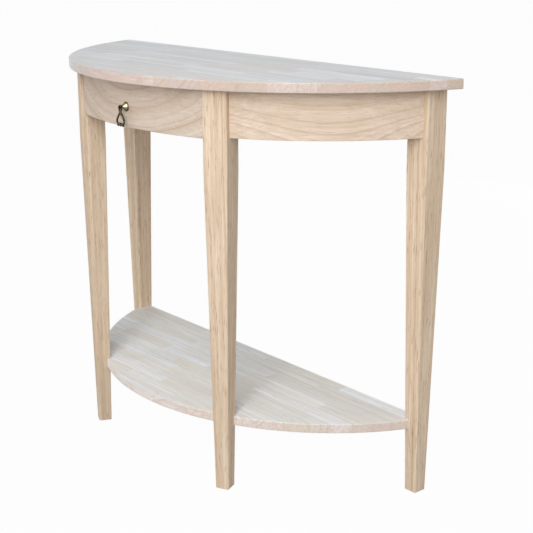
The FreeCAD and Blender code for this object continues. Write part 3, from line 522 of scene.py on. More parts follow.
@dataclass(frozen=True)
class WoodFinish:
    """Bare sanded wood."""

    BUMP = (0.2, 0.0004)  # strength and depth
    FIBRE_HEIGHT = 0.25
    JOINT_HEIGHT = -0.8
    ROUGHNESS_SPREAD = (-0.05, 0.07)
    STAVE_SPREAD = (1.0, 0.24, 0.12)  # how far apart in one log the staves are taken from
    STAVE_OFFSET = (0.0, -0.12, 0.02)
    FACE_FADE = (-0.0014, -0.0002)  # where the upper face begins, from its height
    RIM_RANGE = (0.35, 1.0)  # staves from this pick on show lines on the rim
    STREAK_BANDS = 2.0
    STREAK_RANGE = (0.4, 2.6)

    pale: Rgb  # screen colour of the early wood
    deep: Rgb  # of the broad dark bands
    line: Rgb  # of the rings' lines and the pores
    spacing: float  # from ring to ring
    waviness: float  # how far slow bends move the rings
    bands: float  # strength of the broad bands
    lines: float  # of the rings' lines
    fibre: float  # of the long streaks
    pores: float  # of the pores
    roughness: float
    staves: Staves | None = None  # how the board is glued up, if it is

    def material(self, name: str, grain: GrainFrame, effects: WoodEffects) -> Material:
        """Makes the finish for one piece.

        Args:
            name: Name of the material.
            grain: Where the piece's grain runs.
            effects: The shared node groups.

        Returns:
            The material.
        """
        sheet, material, shader = Sheet.for_material(name)
        place = sheet.add("ShaderNodeTexCoord").outputs["Object"]
        turned = sheet.add("ShaderNodeMapping", vector_type="TEXTURE")
        sheet.feed(turned, Vector=place, Location=grain.pith, Rotation=grain.turn())
        vector = turned.outputs[0]
        glued = None
        if self.staves:
            glued = sheet.group(effects.staves, Vector=vector, Width=self.staves.width,
                                Length=self.staves.length, Seed=grain.seed)
            shift = sheet.vector("MULTIPLY_ADD", glued["Tint"], self.STAVE_SPREAD,
                                 self.STAVE_OFFSET)
            vector = sheet.vector("ADD", vector, shift)
        rings = sheet.group(effects.rings, Vector=vector, Spacing=self.spacing,
                            Waviness=self.waviness, Seed=grain.seed)
        pores = sheet.group(effects.pores, Vector=vector, Seed=grain.seed)
        colour = sheet.stain(linear(self.pale), rings["Bands"], self.bands, self.deep)
        if glued:
            colour = self.staved(sheet, shader, colour, glued | rings, place)
        colour = sheet.stain(colour, pores["Fibre"], self.fibre, self.deep)
        colour = sheet.stain(colour, rings["Lines"], self.lines, self.line)
        colour = sheet.stain(colour, pores["Pores"], self.pores, self.line)
        holes = sheet.math("MULTIPLY", pores["Pores"], -1.0)
        height = sheet.math("MULTIPLY_ADD", pores["Fibre"], self.FIBRE_HEIGHT, holes)
        if glued:
            height = sheet.math("MULTIPLY_ADD", glued["Joint"], self.JOINT_HEIGHT, height)
        rough = sheet.span(pores["Fibre"], 0.0, 1.0,
                           *(self.roughness + spread for spread in self.ROUGHNESS_SPREAD))
        sheet.feed(shader, Base_Color=colour, Roughness=rough,
                   Normal=sheet.bump(height, *self.BUMP))
        return material

    def toned(self, gain: float) -> "WoodFinish":
        """The same wood with all its colours made lighter or darker.

        Args:
            gain: What its colours are multiplied by.

        Returns:
            The finish.
        """
        pale, deep, line = (tuple(gain * part for part in colour)
                            for colour in (self.pale, self.deep, self.line))
        return replace(self, pale=pale, deep=deep, line=line)

    def staved(self, sheet: Sheet, shader: Node, colour: Socket, given: dict[str, Socket],
               place: Socket) -> Socket:
        """Tints the staves, draws the glue lines, paints sheen on the upper face and adds a dusty
        haze.

        Args:
            sheet: The material's nodes.
            shader: The Principled shader.
            colour: The wood's colour so far.
            given: Outputs of the stave and ring groups.
            place: Object coordinates.

        Returns:
            The new colour.
        """
        staves = self.staves
        ramp = sheet.feed(sheet.add("ShaderNodeValToRGB"), given["Tone"])
        stops = ramp.color_ramp.elements
        for share in np.linspace(0, 1, len(staves.tints))[1:-1].tolist():
            stops.new(share)
        for stop, tint in zip(stops, staves.tints):
            stop.color = linear(tint)
        colour = sheet.blend(staves.share, colour, ramp.outputs[0])
        colour = sheet.stain(colour, given["Joint"], staves.joint, self.line)
        on_face = sheet.span(sheet.parts(place)[2],
                             *(staves.face_height + fade for fade in self.FACE_FADE), smooth=True)
        pick = sheet.parts(given["Tint"])
        rim = sheet.math("MULTIPLY", sheet.math("SUBTRACT", 1.0, on_face),
                         sheet.span(pick[0], *self.RIM_RANGE, 0.0, staves.rim))
        colour = sheet.stain(colour, given["Lines"], rim, self.line)
        # Painted sheen: the upper face is made paler and cooler than the rim, in lighter and darker
        # streaks
        face_tint_and_sheen = sheet.blend(pick[2], (*staves.coolest_stave_and_sheen, 1.0), (*staves.warmest_stave_and_sheen, 1.0))
        painted_sheen_streak = sheet.math("MULTIPLY_ADD", given["Bands"], self.STREAK_BANDS, pick[0])
        gain = sheet.span(painted_sheen_streak, *self.STREAK_RANGE, 1.0 - staves.streaks, 1.0 + staves.streaks)
        face_tint_and_sheen = sheet.blend(1.0, face_tint_and_sheen, gain, "MULTIPLY")
        sheet.feed(shader, Sheen_Weight=staves.haze, Sheen_Roughness=staves.haze_spread,
                   Sheen_Tint=(*staves.haze_tint, 1.0))
        return sheet.blend(on_face, colour, face_tint_and_sheen, "MULTIPLY")


@dataclass(frozen=True)
class MetalFinish:
    """Metal with a darker skin where hands do not rub it, and painted shade that the mesh gives."""

    BUMP = (0.15, 0.0002)  # strength and depth
    SPECK_RANGE = (0.36, 0.64)
    SPECK_SHARE = 0.5  # how far the lumps move the rubbed share

    bright: Rgb  # screen colour of the rubbed metal
    dark: Rgb  # of the skin
    smooth: float  # roughness of the rubbed metal
    dull: float  # of the skin
    speck: float = 420.0  # lumps of the skin in a metre
    rubbed: bool = False  # whether the mesh says where it is rubbed and where shade is painted

    def material(self, name: str) -> Material:
        """Makes the finish.

        Args:
            name: Name of the material.

        Returns:
            The material.
        """
        sheet, material, shader = Sheet.for_material(name)
        place = sheet.add("ShaderNodeTexCoord").outputs["Object"]
        lumps = sheet.noise(place, 0.0, self.speck, detail=3.0).outputs[0]
        share = sheet.span(lumps, *self.SPECK_RANGE)
        if self.rubbed:
            # The attribute holds the wear, and painted shade on the lower side of the pull's base
            wear_and_shade = sheet.add("ShaderNodeAttribute", attribute_name="rubbed").outputs["Fac"]
            centred = sheet.math("SUBTRACT", share, 0.5)
            share = sheet.math("MULTIPLY_ADD", centred, self.SPECK_SHARE, wear_and_shade, clamp=True)
        colour = sheet.blend(share, linear(self.dark), linear(self.bright))
        rough = sheet.span(share, 0.0, 1.0, self.dull, self.smooth)
        sheet.feed(shader, Metallic=1.0, Base_Color=colour, Roughness=rough,
                   Normal=sheet.bump(lumps, *self.BUMP))
        return material


class Finish(Enum):
    """The table's finishes."""

    TOP = WoodFinish(
        pale=(219, 203, 195), deep=(197, 177, 165), line=(156, 126, 110), spacing=0.006,
        waviness=0.014, bands=0.5, lines=0.4, fibre=0.7, pores=0.4, roughness=0.5,
        staves=Staves(
            tints=((220, 192, 179), (203, 190, 170), (235, 218, 212), (194, 180, 172)),
            share=0.7, joint=0.14, rim=0.7, coolest_stave_and_sheen=(0.9, 1.08, 1.15), warmest_stave_and_sheen=(1.07, 1.19, 1.19),
            streaks=0.16, haze=0.5, haze_tint=(0.67, 0.82, 0.97), haze_spread=0.4,
            face_height=TOP_HEIGHT))
    # Paler than the top, which paints in light that the shelf under the top doesn't get
    SHELF = WoodFinish(
        pale=(241, 226, 217), deep=(212, 193, 180), line=(172, 146, 130), spacing=0.006,
        waviness=0.014, bands=0.6, lines=0.4, fibre=0.75, pores=0.5, roughness=0.55,
        staves=Staves(
            tints=((228, 207, 199), (229, 217, 201), (243, 233, 225), (244, 240, 242)),
            share=0.65, joint=0.2, rim=0.5, coolest_stave_and_sheen=(0.99, 1.19, 1.31), warmest_stave_and_sheen=(1.04, 1.21, 1.3),
            streaks=0.08, haze=0.7, haze_tint=(0.92, 0.99, 1.0), haze_spread=0.5,
            face_height=SHELF_HEIGHT))
    LEG = WoodFinish(
        pale=(238, 219, 196), deep=(197, 169, 137), line=(166, 131, 97), spacing=0.0026,
        waviness=0.003, bands=0.4, lines=0.5, fibre=0.7, pores=0.8, roughness=0.62)
    APRON = WoodFinish(
        pale=(236, 219, 202), deep=(200, 175, 147), line=(170, 133, 102), spacing=0.0075,
        waviness=0.02, bands=0.45, lines=0.55, fibre=0.6, pores=0.4, roughness=0.62)
    DRAWER = WoodFinish(
        pale=(228, 215, 204), deep=(186, 161, 134), line=(150, 116, 86), spacing=0.0085,
        waviness=0.018, bands=0.75, lines=0.55, fibre=0.4, pores=0.4, roughness=0.62)
    INNER = WoodFinish(
        pale=(221, 200, 172), deep=(200, 172, 140), line=(170, 138, 104), spacing=0.006,
        waviness=0.01, bands=0.5, lines=0.4, fibre=0.35, pores=0.35, roughness=0.68)
    DOWEL = WoodFinish(
        pale=(223, 200, 166), deep=(204, 176, 138), line=(176, 144, 106), spacing=0.003,
        waviness=0.003, bands=0.4, lines=0.3, fibre=0.4, pores=0.3, roughness=0.65)
    PLYWOOD = WoodFinish(
        pale=(216, 193, 160), deep=(198, 170, 134), line=(168, 136, 100), spacing=0.012,
        waviness=0.03, bands=0.5, lines=0.35, fibre=0.35, pores=0.3, roughness=0.6)
    BRASS = MetalFinish(bright=(203, 187, 150), dark=(42, 31, 22), smooth=0.27, dull=0.38,
                        rubbed=True)
    STEEL = MetalFinish(bright=(200, 198, 190), dark=(150, 146, 136), smooth=0.3, dull=0.42)


class Axis(Enum):
    """Directions that straight pieces' grain runs in."""

    ALONG_X = (1.0, 0.0, 0.0)
    ALONG_Y = (0.0, 1.0, 0.0)
    UPRIGHT = (0.0, 0.0, 1.0)


@dataclass(kw_only=True)
class Board(ABC):
    """A board that is modelled again in place of its CAD node."""

    node: str  # CAD node that it stands for
    body: str = "carcass"  # what it rides on
    slot: str  # material slot of the record; not used
    finish: WoodFinish
    seed: float  # sets its wood apart

    @abstractmethod
    def build(self) -> Skin:
        """Works out the closed skin."""

    @abstractmethod
    def grain(self) -> GrainFrame:
        """Says where the grain runs."""

    def dress(self, effects: WoodEffects) -> None:
        """Makes the board and its finish, with the shared node groups."""
        material = self.finish.material(self.node + "_wood", self.grain(), effects)
        piece(self.node + "_board", [self.build()], self.body, [self.node], material)


@dataclass(kw_only=True)
class HalfMoonBoard(Board):
    """Board with a bowed front and a straight back, glued up from staves."""

    ARC_POINTS = 161
    BACK_POINTS = 41
    END_POINTS = 5
    CORNER_POINTS = 8
    LEAST_CORNER = SHARPEST / 10
    FACE_RINGS = np.array([0.25, 0.5, 0.75])  # shares of the way from the middle to the edge

    radius: float  # of the bowed edge
    back: float  # y of the straight edge
    upper: float  # height of the upper face
    rounding: float  # radius of its edges
    thickness: float = 0.0175
    end: float | None = None  # half the length between its straight ends, if it has them

    def outline(self, inset: float) -> np.ndarray:
        """Plan outline, moved inwards: an arc about the shared centre, ends and a straight back.

        Args:
            inset: How far inwards.

        Returns:
            Points of shape (n, 2), counter-clockwise.
        """
        radius, back = self.radius - inset, self.back - inset
        if self.end is None:
            size = max(self.rounding - inset, self.LEAST_CORNER)
            corner, half = self.corner(radius, back, size)
            sweep = math.atan2(corner[0, 0], ARC_Y - corner[0, 1])
            right = corner[1:]
        else:
            half = self.end - inset
            sweep = math.asin(half / radius)
            rise = np.linspace(ARC_Y - radius * math.cos(sweep), back, self.END_POINTS)[1:]
            right = grid(half, rise)
        turn = np.linspace(-sweep, sweep, self.ARC_POINTS)
        arc = grid(radius * np.sin(turn), ARC_Y - radius * np.cos(turn))
        straight = grid(np.linspace(half, -half, self.BACK_POINTS)[1:-1], back)
        return np.concatenate([arc, right, straight, right[::-1] * (-1, 1)])

    def corner(self, radius: float, back: float, size: float) -> tuple[np.ndarray, float]:
        """Round corner between the bow and the straight back: a circle touching both from inside.

        Args:
            radius: Radius of the bow.
            back: The y of the straight edge.
            size: Radius of the corner.

        Returns:
            Points from the bow to the straight edge, and the x at which that edge starts.
        """
        y = back - size
        x = math.sqrt((radius - size) ** 2 - (ARC_Y - y) ** 2)
        turn = np.linspace(math.atan2(y - ARC_Y, x), math.pi / 2, self.CORNER_POINTS)
        return grid(x + size * np.cos(turn), y + size * np.sin(turn)), x

    def build(self) -> Skin:
        """Rings of the outline over a rounded edge: inset q (1 - sin t), depth q (1 - cos t).

        Returns:
            The closed skin.
        """
        inset, depth = self.rounding * (1 - np.sin(QUARTER)), self.rounding * (1 - np.cos(QUARTER))
        inset = np.concatenate([[inset[0] + SUPPORT], inset, [0.0]])
        depth = np.concatenate([[0.0], depth, [self.rounding + SUPPORT]])
        plan = np.stack([self.outline(value) for value in inset])
        upper = grid(plan[..., 0], plan[..., 1], self.upper - depth[:, None])
        lower = upper[::-1] * (1, 1, -1) + (0, 0, 2 * self.upper - self.thickness)
        shares = self.FACE_RINGS[:, None, None]
        crown = upper[0].mean(0) + (upper[0] - upper[0].mean(0)) * shares
        sole = lower[-1].mean(0) + (lower[-1] - lower[-1].mean(0)) * shares[::-1]
        return skin(np.concatenate([crown, upper, lower, sole]))

    def grain(self) -> GrainFrame:
        """Runs the grain along the straight back, in the middle of the thickness."""
        pith = (0.0, self.back, self.upper - self.thickness / 2)
        return GrainFrame(pith, Axis.ALONG_X.value, self.seed)


@dataclass(kw_only=True)
class BowedBoard(Board):
    """Board sawn to a bow, with one plain section carried round its centre."""

    SECTIONS = 73

    slot: str = "apron_wood"
    finish: WoodFinish = Finish.APRON.value
    side: int = 1  # -1 for the mirror image on the left
    bottom: float = APRON_BOTTOM  # height of the lower edge
    top: float = TOP_UNDERSIDE  # height of the upper edge
    # Radius of the outer lower, outer upper, inner upper and inner lower edge
    rounds: Four = (0.001, SHARPEST, SHARPEST, 0.001)
    end_round: float = SHARPEST  # radius of the outer face's upright edges
    thickness: float = 0.02
    pith_out: float = -0.063  # how far the pith lies in front of the face
    pith_up: float = -0.103  # and above the upper edge
    radius: float = APRON_RADIUS  # of the face
    centre: float = ARC_Y  # y of the centre that it is bowed about

    def ends(self, radius: np.ndarray) -> tuple[np.ndarray, np.ndarray]:
        """Angles at which the board starts and stops, at the front leg and the back leg.

        Args:
            radius: Distances from the shared centre.

        Returns:
            First and last angle at each distance.
        """
        first = LEG_ANGLE + np.arcsin(LEG_SIDE / radius)
        last = np.arccos((ARC_Y - BACK_LEG_FRONT) / radius)
        return first, last

    def build(self) -> Skin:
        """The section (r, z) at the angle a is (r sin a, centre - r cos a, z), from end to end.

        Next to the ends the outer face falls back by q (1 - sin t) where it is q (1 - cos t) from
        the end.

        Returns:
            The closed skin.
        """
        inner = self.radius - self.thickness
        loop = rounded_loop((inner, self.bottom), (self.radius, self.top), self.rounds)
        first, last = self.ends(loop[:, 0])
        length = self.radius * float(np.max(last - first))
        near = np.concatenate([self.end_round * (1 - np.cos(QUARTER)), [self.end_round + SUPPORT]])
        fall = np.concatenate([self.end_round * (1 - np.sin(QUARTER)), [0.0]])
        run = np.linspace(0, 1, self.SECTIONS)[1:-1]
        share = np.concatenate([near / length, run, 1 - near[::-1] / length])[:, None]
        limit = self.radius - np.concatenate([fall, np.zeros_like(run), fall[::-1]])[:, None]
        radius = np.minimum(loop[:, 0], limit)
        angle = first + (last - first) * share
        return skin(grid(self.side * radius * np.sin(angle), self.centre - radius * np.cos(angle),
                         loop[:, 1]))

    def grain(self) -> GrainFrame:
        """The pith runs along the chord, at its distance from the middle of the face.

        Returns:
            The grain's frame.
        """
        first, last = (float(end[0]) for end in self.ends(np.array([self.radius])))
        middle = self.side * (first + last) / 2
        reach = self.radius + self.pith_out
        pith = (reach * math.sin(middle), self.centre - reach * math.cos(middle),
                self.top + self.pith_up)
        return GrainFrame(pith, (math.cos(middle), math.sin(middle), 0.0), self.seed)


@dataclass(kw_only=True)
class DrawerFront(BowedBoard):
    """Front of the drawer, between the front legs, with a flatter bow of its own."""

    body: str = "drawer"
    finish: WoodFinish = Finish.DRAWER.value
    bottom: float = 0.6582
    top: float = 0.742
    rounds: Four = (0.0012, 0.0012, SHARPEST, SHARPEST)
    end_round: float = 0.0012
    pith_out: float = 0.1
    pith_up: float = 0.02
    radius: float = 0.64
    centre: float = 0.4843
    end_gap: float = 0.0012  # beside each front leg

    def ends(self, radius: np.ndarray) -> tuple[np.ndarray, np.ndarray]:
        """Angles at which the front starts and stops: where each circle meets a line by the leg.

        With q the line's point beside the shared centre and d its direction, the circle of radius
        r is met at q + t d, where t = sqrt((q.d) ** 2 - q.q + r ** 2) - q.d.

        Args:
            radius: Distances from the front's own centre.

        Returns:
            First and last angle at each distance.
        """
        across = -LEG_SIDE - self.end_gap
        along = np.array([math.sin(LEG_ANGLE), -math.cos(LEG_ANGLE)])
        start = np.array([across * math.cos(LEG_ANGLE),
                          ARC_Y - self.centre + across * math.sin(LEG_ANGLE)])
        lean = start @ along
        met = start + np.outer(np.sqrt(lean ** 2 - start @ start + radius ** 2) - lean, along)
        last = np.arctan2(met[:, 0], -met[:, 1])
        return -last, last


@dataclass
class DropPull:
    """Brass pull: a turned base with an eye, and a pierced pear-shaped drop on a ring.

    Heights of the drop's parts are counted from the pivot. A table of wear gives places, and how
    far the brass is rubbed there; the table by height paints shade on the base's lower side.
    """

    TURNED_POINTS = 64
    FLARE_RINGS = 14
    EYE_SPANS = 3
    HULL_STEPS = 60
    DROP_POINTS = 128
    SECTION_POINTS = 24
    SECTION_POWER = 0.8  # below 1 the drop's oval section is fuller
    LOBE_RINGS = 18
    LOBE_STRETCH = 1.5

    face_y: float = -0.1557  # y of the drawer front's face
    height: float = 0.6961  # of the eye's centre
    reach: float = 0.013  # from the face to the eye's centre
    rim: Triple = (0.009, 0.0006, 0.0014)  # radius, edge radius and height
    # Radius and depth of its shoulder, bend and neck
    flare: tuple[Pair, ...] = ((0.0076, 0.0022), (0.0046, 0.0057), (0.0029, 0.0094))
    neck_length: float = 0.0005  # beyond the flare
    # Inner and outer radius, half the thickness and edge radius
    eye: Four = (0.00184, 0.004, 0.0012, 0.0006)
    ring: Pair = (0.0037, 0.0014)  # radius and wire radius
    # Sideways place, height and radius of the circles that the outline goes round
    pear: tuple[Point, ...] = ((0.0, -0.0087, 0.0028), (0.0055, -0.0253, 0.008),
                               (-0.0055, -0.0253, 0.008))
    # The same for the hole
    hole: tuple[Point, ...] = ((0.0, -0.0219, 0.007), (0.0055, -0.0253, 0.0042),
                               (-0.0055, -0.0253, 0.0042))
    centre: float = -0.0228  # height of a point inside the hole
    half_depth: float = 0.0017  # half the drop's thickness
    lobe: Triple = (0.0025, -0.0317, 0.0075)  # radius, height and spacing
    # Wear of the base by the distance from the face
    depth_wear: Table = ((0, 0.001, 0.0015, 0.003, 0.0075, 0.0095), (0.1, 0.35, 0.1, 0.8, 0.9, 0.6))
    # Painted shade by the height, in radii of the rim: the base is darker lower down
    painted_shade_by_height: Table = ((-0.8, -0.25, 0.3), (0.1, 0.55, 1.0))
    eye_wear: Pair = (0.9, 0.1)  # of the eye, at its inner and outer radius
    # Wear of the drop by the distance from its middle plane, in half_depth
    crest_wear: Table = ((0.92, 1.0, 1.1), (0.0, 0.16, 0.0))

    def base_profile(self) -> tuple[np.ndarray, np.ndarray]:
        """Section of the base: a rim with a round edge, then a flare to the neck.

        The rim's edge is R - q (1 - cos t) at the depth h - q (1 - sin t). The flare is the curve
        (1 - s) ** 2 a + 2 s (1 - s) b + s ** 2 c from the shoulder a over the bend b to the neck c.

        Returns:
            Radius and depth of each ring, as columns.
        """
        size, edge, height = self.rim
        rim = grid(size - edge * (1 - np.cos(QUARTER)), height - edge * (1 - np.sin(QUARTER)))
        shoulder, bend, neck = (np.array(point) for point in self.flare)
        share = np.linspace(0, 1, self.FLARE_RINGS)[:, None]
        flare = (1 - share) ** 2 * shoulder + 2 * share * (1 - share) * bend + share ** 2 * neck
        end = (neck[0], neck[1] + self.neck_length)
        profile = np.concatenate([[(size, 0.0)], rim, flare, [end]])
        return profile[:, :1], profile[:, 1:]

    def build_base(self) -> tuple[list[Skin], np.ndarray]:
        """Base turned about an axis along Y, and eye with a section carried round X.

        The base is (r cos a, face - d, z + r sin a) with the radius r at the depth d.

        Returns:
            The skins, and how far each point is rubbed, with painted shade lower on the base.
        """
        turn = full_turn(self.TURNED_POINTS)
        radius, depth = self.base_profile()
        turned = skin(grid(radius * np.cos(turn), self.face_y - depth,
                           self.height + radius * np.sin(turn)))
        inner, outer, half, edge = self.eye
        radii = (edge, edge, SHARPEST, SHARPEST)
        loop = rounded_loop((inner, -half), (outer, half), radii, self.EYE_SPANS)
        distance, across = loop.T
        eye = skin(grid(across, self.face_y - self.reach + np.outer(np.cos(turn), distance),
                        self.height + np.outer(np.sin(turn), distance)), wrap=True)
        wear_and_shade = np.interp(np.abs(turned[0][:, 1] - self.face_y), *self.depth_wear)
        # Painted shade: the base is made darker lower down and brighter towards the top
        wear_and_shade *= np.interp((turned[0][:, 2] - self.height) / self.rim[0], *self.painted_shade_by_height)
        far = np.hypot(eye[0][:, 1] - self.face_y + self.reach, eye[0][:, 2] - self.height)
        eye_worn = np.interp(far, (inner, outer), self.eye_wear)
        return [turned, eye], np.concatenate([wear_and_shade, eye_worn])

    def edge(self, circles: Sequence[Point], turn: np.ndarray) -> np.ndarray:
        """Distance from the centre to the hull of circles.

        The hull is covered by the circles whose place c and radius q run evenly from one circle to
        the next. A ray u meets such a circle last at c.u + sqrt(q ** 2 - c.c + (c.u) ** 2), and the
        largest of these counts.

        Args:
            circles: Sideways place, height and radius of each circle.
            turn: Angles of the rays from straight up.

        Returns:
            The distances.
        """
        given = np.array(circles) - (0.0, self.centre, 0.0)
        share = np.linspace(0, 1, self.HULL_STEPS)[:, None, None]
        run = (given + (np.roll(given, -1, 0) - given) * share).reshape(-1, 3)
        ahead = run[:, :1] * np.sin(turn) + run[:, 1:2] * np.cos(turn)
        inside = run[:, 2:] ** 2 - (run[:, :2] ** 2).sum(1, keepdims=True) + ahead ** 2
        return np.where(inside > 0, ahead + np.sqrt(np.maximum(inside, 0)), 0).max(0)

    def build_drop(self) -> tuple[list[Skin], np.ndarray]:
        """Ring, body and lobes of the drop.

        The ring is a torus. The body is a flat oval section from the hole to the pear's outline,
        carried round the hole.

        Returns:
            The skins, and how far each point is rubbed.
        """
        pivot = np.array([0.0, self.face_y - self.reach, self.height])
        turn, section = full_turn(self.DROP_POINTS), full_turn(self.SECTION_POINTS)
        radius, wire = self.ring
        far = radius + wire * np.cos(section)
        ring = grid(np.outer(np.sin(turn), far), wire * np.sin(section),
                    np.outer(np.cos(turn), far) - radius)
        outer, hole = (self.edge(circles, turn)[:, None] for circles in (self.pear, self.hole))
        bulge, swell = (np.sign(wave) * np.abs(wave) ** self.SECTION_POWER
                        for wave in (np.cos(section), np.sin(section)))
        distance = (outer + hole) / 2 + (outer - hole) / 2 * bulge
        pear = grid(distance * np.sin(turn)[:, None], self.half_depth * swell,
                    distance * np.cos(turn)[:, None] + self.centre)
        skins = [skin(ring + pivot, wrap=True), skin(pear + pivot, wrap=True)]
        skins += [self.build_lobe(pivot, place) for place in (-1, 0, 1)]
        crest = np.concatenate([np.abs(points[:, 1] - pivot[1]) for points, _ in skins])
        return skins, np.interp(crest / self.half_depth, *self.crest_wear)

    def build_lobe(self, pivot: np.ndarray, place: int) -> Skin:
        """A lobe drawn out upright, q (sin t cos a, sin t sin a, 1.5 cos t).

        Args:
            pivot: The pivot's place.
            place: -1, 0 or 1 along the foot.

        Returns:
            The closed skin.
        """
        size, height, spacing = self.lobe
        tilt = np.linspace(0, math.pi, self.LOBE_RINGS)[1:-1, None]
        turn = full_turn(self.SECTION_POINTS)
        lobe = grid(np.sin(tilt) * np.cos(turn), np.sin(tilt) * np.sin(turn),
                    self.LOBE_STRETCH * np.cos(tilt))
        return skin(pivot + np.array([spacing * place, 0.0, height]) + size * lobe)

    def dress(self) -> None:
        """Makes the base and the drop with their brass."""
        brass = Finish.BRASS.value.material("antique_brass")
        skins, rubbed = self.build_base()
        piece("pull_base_turned", skins, "drawer", ["pull_base"], brass, rubbed)
        skins, rubbed = self.build_drop()
        piece("pull_drop_pear", skins, "drop", ["pull_drop"], brass, rubbed)


@dataclass
class Legs:
    """The four tapered legs, which keep their CAD shape and get upright grain."""

    # What each leg's colours are multiplied by; the back legs' gains are painted light
    tones: tuple[tuple[str, float], ...] = (("leg_front_left", 0.97), ("leg_front_right", 1.0),
                                            ("leg_back_left", 1.07), ("leg_back_right", 1.03))
    pith_away: float = 0.09  # from a leg's middle
    pith_height: float = 0.3  # of the point that is given for the pith
    turn: Pair = (0.9, 1.7)  # direction of the first leg's pith, and the step from leg to leg
    seed: Pair = (1.0, 3.1)  # the first leg's, and the step

    def dress(self, effects: WoodEffects) -> None:
        """Gives each leg its own wood.

        Args:
            effects: The shared node groups.
        """
        for at, (node, tone) in enumerate(self.tones):
            low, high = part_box(node)
            angle, seed = (first + step * at for first, step in (self.turn, self.seed))
            pith = ((low.x + high.x) / 2 + self.pith_away * math.cos(angle),
                    (low.y + high.y) / 2 + self.pith_away * math.sin(angle), self.pith_height)
            grain = GrainFrame(pith, Axis.UPRIGHT.value, seed)
            dress_node(node, Finish.LEG.value.toned(tone).material(node + "_wood", grain, effects))


@dataclass
class InnerWork:
    """The straight pieces and screws inside the table, which keep their CAD shape."""

    # Their order sets each one's wood apart
    pieces: tuple[tuple[Finish, Axis, tuple[str, ...]], ...] = (
        (Finish.APRON, Axis.ALONG_X, ("apron_back",)),
        (Finish.INNER, Axis.ALONG_X, ("drawer_back",)),
        (Finish.PLYWOOD, Axis.ALONG_X, ("drawer_bottom",)),
        (Finish.INNER, Axis.ALONG_X, ("front_rail_upper", "front_rail_lower")),
        (Finish.INNER, Axis.ALONG_Y,
         ("drawer_runner_left", "drawer_kicker_left", "drawer_side_left")),
        (Finish.INNER, Axis.UPRIGHT, ("corner_block_front_left", "corner_block_back_left")),
        (Finish.INNER, Axis.ALONG_Y,
         ("drawer_runner_right", "drawer_kicker_right", "drawer_side_right")),
        (Finish.INNER, Axis.UPRIGHT, ("corner_block_front_right", "corner_block_back_right")),
        (Finish.DOWEL, Axis.ALONG_X,
         ("apron_dowels", "rail_dowels", "shelf_dowels", "drawer_dowels")),
        (Finish.DOWEL, Axis.ALONG_Y, ("runner_dowels",)))
    screws: tuple[str, ...] = ("top_screws", "corner_block_screws", "pull_screw")
    pith: Point = (0.03, -0.05, 0.045)  # from a piece's middle
    pith_rise: float = 0.004  # from one piece to the next
    pith_places: int = 5  # after which the rise starts again
    seed: Pair = (20.0, 1.3)  # the first piece's, and the step

    def dress(self, effects: WoodEffects) -> None:
        """Gives each piece its own wood, and the screws their steel.

        Args:
            effects: The shared node groups.
        """
        listed = [(node, finish, axis) for finish, axis, nodes in self.pieces for node in nodes]
        for at, (node, finish, axis) in enumerate(listed):
            low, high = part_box(node)
            away = (*self.pith[:2], self.pith[2] + self.pith_rise * (at % self.pith_places))
            pith = tuple(middle + part for middle, part in zip((low + high) / 2, away))
            grain = GrainFrame(pith, axis.value, self.seed[0] + self.seed[1] * at)
            dress_node(node, finish.value.material(node + "_wood", grain, effects))
        steel = Finish.STEEL.value.material("steel")
        for node in self.screws:
            dress_node(node, steel)


@dataclass(frozen=True)
class Lamp:
    """A soft lamp."""

    name: str
    place: Point
    sides: Pair  # width and height
    power: float  # in watts
    target: Point = (0.0, 0.0, 0.45)  # where it points

    def build(self) -> None:
        """Hangs the lamp and points it."""
        light = bpy.data.lights.new(self.name, "AREA")
        light.shape = "RECTANGLE"
        light.size, light.size_y = self.sides
        light.energy = self.power
        made = bpy.data.objects.new(self.name, light)
        made.location = self.place
        aim = Vector(self.target) - Vector(self.place)
        made.rotation_euler = aim.to_track_quat("-Z", "Y").to_euler()
        bpy.context.scene.collection.objects.link(made)


